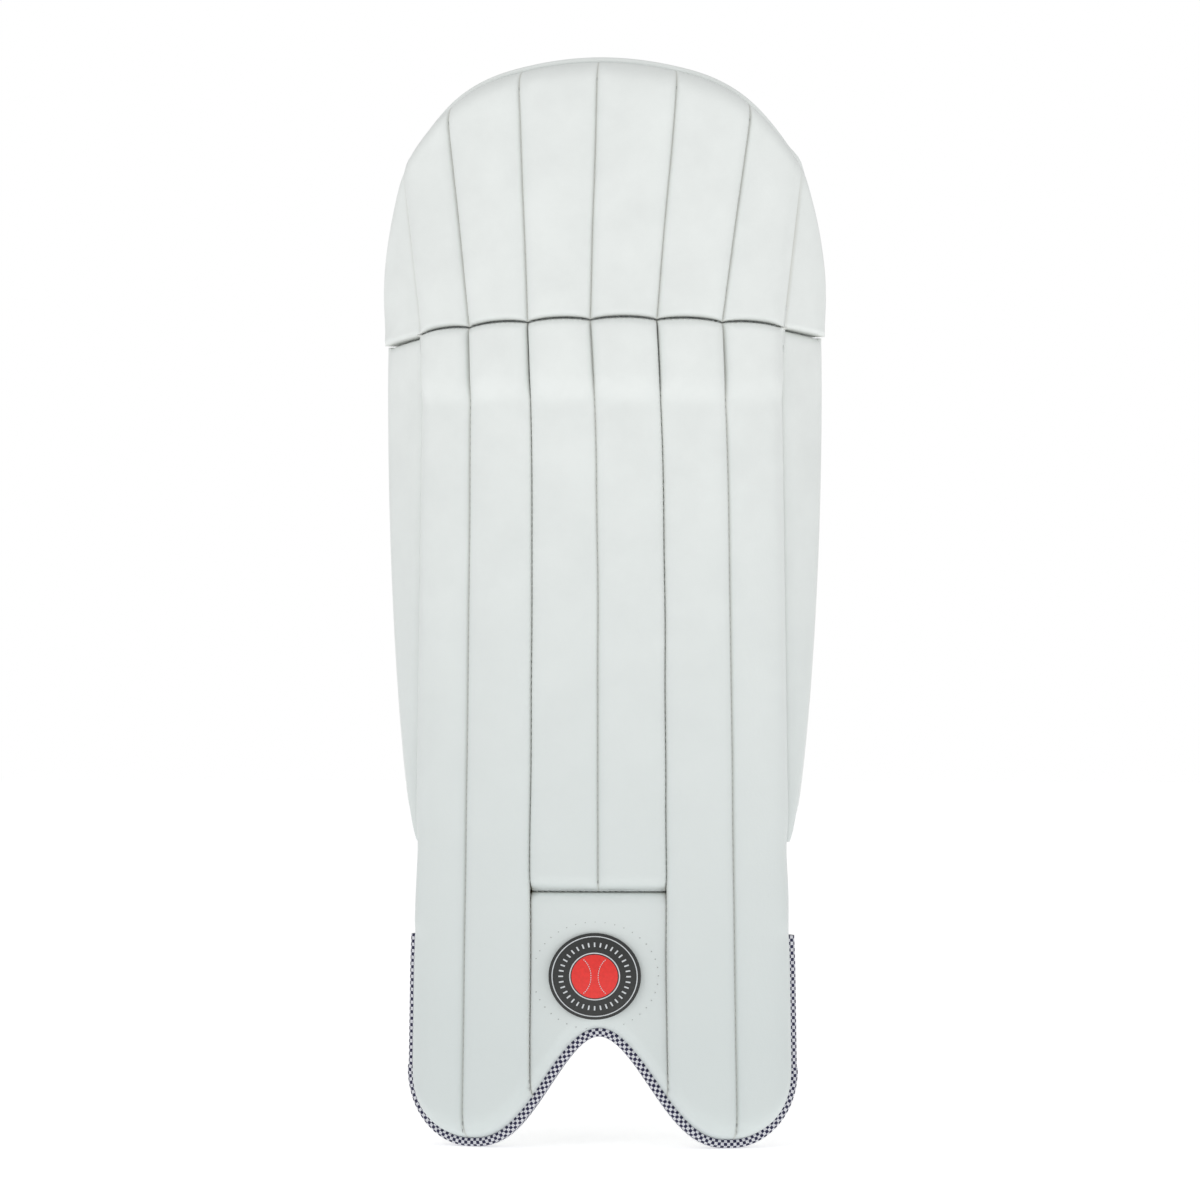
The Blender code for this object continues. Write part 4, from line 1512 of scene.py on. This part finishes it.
class LEGGUARD_OT_badge(bpy.types.Operator):
    """Round badge with a plain ball in its middle"""

    bl_idname = "legguard.badge"
    bl_label = "Badge"

    def execute(self, context):
        low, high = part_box("badge_patch")
        centre = (BADGE_ACROSS, 0.5 * (low.z + high.z) / MM)
        face = low.y / MM - 0.6
        body = "shin_section"
        patch = disc("badge_disc", BADGE_RADIUS, 0.0, face, high.y / MM, centre)
        dress(patch, "badge rubber", body, ["badge_patch"])
        for number, (outer, inner) in enumerate(BADGE_LINES):
            line = disc(f"badge_line_{number + 1}", outer, inner, face - 0.2, face + 0.1, centre)
            dress(line, "badge print", body)
        marks = ticks("badge_ticks", TICKS, 18.4, 21.2, 0.45, face - 0.2, face + 0.1, centre)
        dress(marks, "badge print", body)
        ball = disc("badge_ball_face", BALL_RADIUS, 0.0, face - 0.35, face + 0.1, centre)
        dress(ball, "badge red", body, ["badge_ball"])
        lines = []
        for bow in (-1.5, 1.5):
            line = []
            for step in range(19):
                turn = math.radians(mix(-58.0, 58.0, step / 18))
                x = math.copysign(19.0 - 15.6 * math.cos(turn), bow) * 0.62
                z = 12.6 * math.sin(turn) * BADGE_SQUASH
                line.append(Vector((centre[0] + x, face - 0.35, centre[1] + z)) * MM)
            lines.append(line)
        seam = stitches("badge_ball_seam", lines, 0.95, 0.28)
        dress(seam, "badge print", body)
        # Needle holes round the badge: drops in the grey thread colour painted as the shade inside the holes
        holes = []
        for step in range(NEEDLE_MARKS):
            turn = 2.0 * math.pi * step / NEEDLE_MARKS
            run = centre[0] + 34.5 * math.cos(turn)
            height = centre[1] + 31.5 * math.sin(turn)
            index = run / channel(height)
            if abs(index) < 0.95:
                depth = instep_depth(index, height, low_edge(run), INSTEP_TOP) + 0.12
                holes.append([on_guard(run, height, depth), on_guard(run + 0.6, height + 0.3, depth)])
        thread = stitches("badge_needle_hole_shade", holes, 0.8, 0.3)
        dress(thread, "polyester thread", body)
        return {"FINISHED"}


# Straps


def rear_edge(height):
    """Run of the guard's rear edge, where the straps are sewn."""
    return edge_run(height) + (wing_width(height) if height > WING_TIP else 0.0)


def tip_length(height):
    """Length of a strap inside the other side, clear of the wing's seam."""
    return min(TIP_LENGTH, wing_width(height) - WING_SEAM_ROOM) if height > WING_TIP else TIP_LENGTH


def inside_side(side, height, inset, depth, lift=0.0):
    """Point on the inner face at an inset from the rear edge, raised or lowered by a lift."""
    point = on_guard(side * (rear_edge(height) - inset), height, depth)
    point.z += lift * MM
    return point


def strap_line(height, bow):
    """Plan line of a strap, from its sewn line round the leg to its tip inside the other side."""
    start = inside_side(1, height, 0.0, 0.0) + Vector((-1.0, REAR_CLEARANCE, 0.0)) * MM
    tip = [inside_side(-1, height, tip_length(height) * t, STRAP_DEPTH) for t in spaced(12)]
    finish = tip[0] + (tip[0] - tip[1]).normalized() * REAR_CLEARANCE * MM
    line = []
    for t in spaced(48):
        point = start.lerp(finish, t)
        point.y += bow * MM * math.sin(math.pi * t) ** 0.8
        line.append(point)
    return line + tip


def webbing(name, line, width, thickness):
    """Band of webbing with soft edges, standing on a plan line."""
    section = []
    for step in range(28):
        turn = 2.0 * math.pi * step / 28
        across = math.copysign(abs(math.cos(turn)) ** 0.3, math.cos(turn)) * 0.5 * width
        out = math.copysign(abs(math.sin(turn)) ** 0.6, math.sin(turn)) * 0.5 * thickness
        section.append((across * MM, out * MM))
    stations = []
    for index, point in enumerate(line):
        along = line[min(index + 1, len(line) - 1)] - line[max(index - 1, 0)]
        square = Vector((-along.y, along.x, 0.0)).normalized()
        stations.append([point + square * out + Vector((0.0, 0.0, across)) for across, out in section])
    return tube(name, stations)


def tape_patch(name, side, height, width, insets, depths):
    """Flat patch of tape on the inner face."""

    def place(u, v, layer):
        return inside_side(side, height, mix(*insets, u), depths[layer], width * (v - 0.5))

    return block(name, spaced(8), spaced(3), place)


def sewn_box(side, height, insets, lift, depth, crossed):
    """Stitch lines of a box, and of the cross inside it."""
    near, far = insets
    corners = [(near, -lift), (far, -lift), (far, lift), (near, lift)]
    pairs = list(zip(corners, corners[1:] + corners[:1]))
    if crossed:
        pairs += [(corners[0], corners[2]), (corners[1], corners[3])]
    lines = []
    for (inset, rise), (inset_end, rise_end) in pairs:
        count = max(round(math.hypot(inset_end - inset, rise_end - rise) / BOX_STITCH), 2)
        steps = [step / count for step in range(count + 1)]
        places = [(mix(inset, inset_end, t), mix(rise, rise_end, t)) for t in steps]
        lines.append([inside_side(side, height, along, depth, up) for along, up in places])
    return lines


class LEGGUARD_OT_straps(bpy.types.Operator):
    """Straps with their sewn tabs, hinge folds, hook and loop tapes and stitching"""

    bl_idname = "legguard.straps"
    bl_label = "Straps"

    def execute(self, context):
        for stem, (height, width, bow, holder, other) in STRAPS.items():
            body = f"{stem}_strap"
            line = strap_line(height, bow)
            band = webbing(f"{stem}_strap_band", line, width, STRAP_THICKNESS)
            dress(band, "strap webbing", body, [body])
            tab_line = [inside_side(1, height, inset, TAB_DEPTH) for inset in TAB_INSETS]
            tab = webbing(f"{stem}_strap_tab", tab_line, width, STRAP_THICKNESS)
            dress(tab, "strap webbing", holder, [f"{stem}_anchor"])
            bend = [tab_line[-2], tab_line[-1]]
            bend += [tab_line[-1].lerp(line[0], t) for t in (0.3, 0.6)] + line[0:3]
            fold = webbing(f"{stem}_strap_fold", bend, width - 0.8, STRAP_THICKNESS - 0.3)
            dress(fold, "strap webbing", "")
            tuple(tab_line[-1])
            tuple(line[0])
            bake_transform(fold)
            tip = tip_length(height)
            loop = tape_patch(f"{stem}_loop_tape", -1, height, width - 4.0, (tip + 4.0, 3.0), LOOP_DEPTHS)
            dress(loop, "loop tape", other, [f"{stem}_loop_patch"])
            hook = tape_patch(f"{stem}_hook_tape", -1, height, width - 8.0, (tip - 3.0, 6.0), HOOK_DEPTHS)
            dress(hook, "hook tape", body, [f"{stem}_hook_patch"])
            half = 0.5 * width - 3.5
            sewn = sewn_box(1, height, (23.0, 4.0), half, TAB_DEPTH - 0.5 * STRAP_THICKNESS, True)
            thread = stitches(f"{stem}_tab_thread", sewn, 2.2, 0.4)
            dress(thread, "polyester thread", holder)
            surface = STRAP_DEPTH - 0.5 * STRAP_THICKNESS
            sewn = sewn_box(-1, height, (tip - 4.0, 7.0), half - 1.5, surface, False)
            thread = stitches(f"{stem}_tip_thread", sewn, 2.2, 0.4)
            dress(thread, "polyester thread", body)
        return {"FINISHED"}


class LEGGUARD_OT_canes(bpy.types.Operator):
    """Finish of the canes inside the channels"""

    bl_idname = "legguard.canes"
    bl_label = "Canes"

    def execute(self, context):
        for name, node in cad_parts.items():
            if "cane" in name:
                node.data.materials.clear()
                node.data.materials.append(finish_of("rattan cane"))
        return {"FINISHED"}


# Studio


STUDIO_MIDDLE = (0.0, 0.0, 0.33)
LAMPS = {"key": ((-1.25, -1.9, 1.9), 1.4, 9.2), "fill": ((2.0, -1.5, 0.9), 1.6, 5.6)}
CAMERA_AROUND = math.radians(4.0)
CAMERA_DISTANCE = 3.0
CAMERA_TARGET = (-0.0006, -0.03, 0.3214)
FRAME_WIDTH = 0.7058
SENSOR = 36.0


def area_light(name, place, size, power):
    """Soft square light that looks at the guard's middle."""
    data = bpy.data.lights.new(name, "AREA")
    data.size = size
    data.energy = power
    lamp = bpy.data.objects.new(name, data)
    lamp.location = place
    lamp.rotation_euler = (Vector(STUDIO_MIDDLE) - Vector(place)).to_track_quat("-Z", "Y").to_euler()
    bpy.context.scene.collection.objects.link(lamp)


def studio_world():
    """White backdrop that lights the guard with less than its own brightness."""
    world = bpy.data.worlds.new("studio")
    world.use_nodes = True
    tree = world.node_tree
    tree.nodes.clear()
    paths = add_node(tree, "ShaderNodeLightPath")
    light = add_node(tree, "ShaderNodeBackground", values={"Color": (1, 1, 1, 1), "Strength": AMBIENT})
    seen = add_node(tree, "ShaderNodeBackground", values={"Color": (1, 1, 1, 1), "Strength": 1.0})
    ways = {0: (paths, "Is Camera Ray"), 1: (light, 0), 2: (seen, 0)}
    both = add_node(tree, "ShaderNodeMixShader", links=ways)
    output = add_node(tree, "ShaderNodeOutputWorld")
    tree.links.new(both.outputs[0], output.inputs["Surface"])
    return world


class LEGGUARD_OT_stage(bpy.types.Operator):
    """Pale floor and backdrop, soft lights and the camera"""

    bl_idname = "legguard.stage"
    bl_label = "Studio"

    def execute(self, context):
        mesh = bmesh.new()
        bmesh.ops.create_grid(mesh, x_segments=1, y_segments=1, size=6.0)
        floor = finish_mesh("studio_floor", mesh)
        made, tree = new_material("studio floor")
        shader = add_node(
            tree, "ShaderNodeBsdfPrincipled",
            values={
                "Base Color": colour("floor"),
                "Roughness": 0.9,
                "Emission Color": (1.0, 1.0, 1.0, 1.0),
                "Emission Strength": 0.4,
            },
        )
        close_material(tree, shader)
        floor.data.materials.append(made)
        scene = context.scene
        scene.world = studio_world()
        scene.view_settings.view_transform = "Standard"
        for name, lamp in LAMPS.items():
            area_light(name, *lamp)
        data = bpy.data.cameras.new("camera")
        camera = bpy.data.objects.new("camera", data)
        scene.collection.objects.link(camera)
        target = Vector(CAMERA_TARGET)
        away = Vector((math.sin(CAMERA_AROUND), -math.cos(CAMERA_AROUND), 0.0))
        camera.location = target + away * CAMERA_DISTANCE
        camera.rotation_euler = (target - camera.location).to_track_quat("-Z", "Y").to_euler()
        data.sensor_width = SENSOR
        data.lens = SENSOR * CAMERA_DISTANCE / FRAME_WIDTH
        scene.camera = camera
        return {"FINISHED"}


class LEGGUARD_PT_panel(bpy.types.Panel):
    """Sizes, colours and steps of the leg guard"""

    bl_label = "Leg guard"
    bl_idname = "LEGGUARD_PT_panel"
    bl_space_type = "VIEW_3D"
    bl_region_type = "UI"
    bl_category = "Leg guard"

    def draw(self, context):
        layout = self.layout
        for group in (context.scene.leg_guard_sizes, context.scene.leg_guard_colours):
            for key in group.bl_rna.properties.keys():
                if key not in ("rna_type", "name"):
                    layout.prop(group, key)
        for step in STEPS:
            layout.operator(f"legguard.{step}")


STEPS = ("stage", "shin", "wings", "knee", "tapes", "back", "badge", "straps", "canes")
CLASSES = (
    PadSizes,
    PadColours,
    LEGGUARD_OT_stage,
    LEGGUARD_OT_shin,
    LEGGUARD_OT_wings,
    LEGGUARD_OT_knee,
    LEGGUARD_OT_tapes,
    LEGGUARD_OT_back,
    LEGGUARD_OT_badge,
    LEGGUARD_OT_straps,
    LEGGUARD_OT_canes,
    LEGGUARD_PT_panel,
)


def register():
    """Add the classes and the scene's settings."""
    for kind in CLASSES:
        bpy.utils.register_class(kind)
    bpy.types.Scene.leg_guard_sizes = PointerProperty(type=PadSizes)
    bpy.types.Scene.leg_guard_colours = PointerProperty(type=PadColours)


def unregister():
    """Remove what register added."""
    del bpy.types.Scene.leg_guard_colours
    del bpy.types.Scene.leg_guard_sizes
    for kind in reversed(CLASSES):
        bpy.utils.unregister_class(kind)


def main():
    """Build every piece."""
    register()
    for step in STEPS:
        getattr(bpy.ops.legguard, step)()


if __name__ == "__main__":
    main()
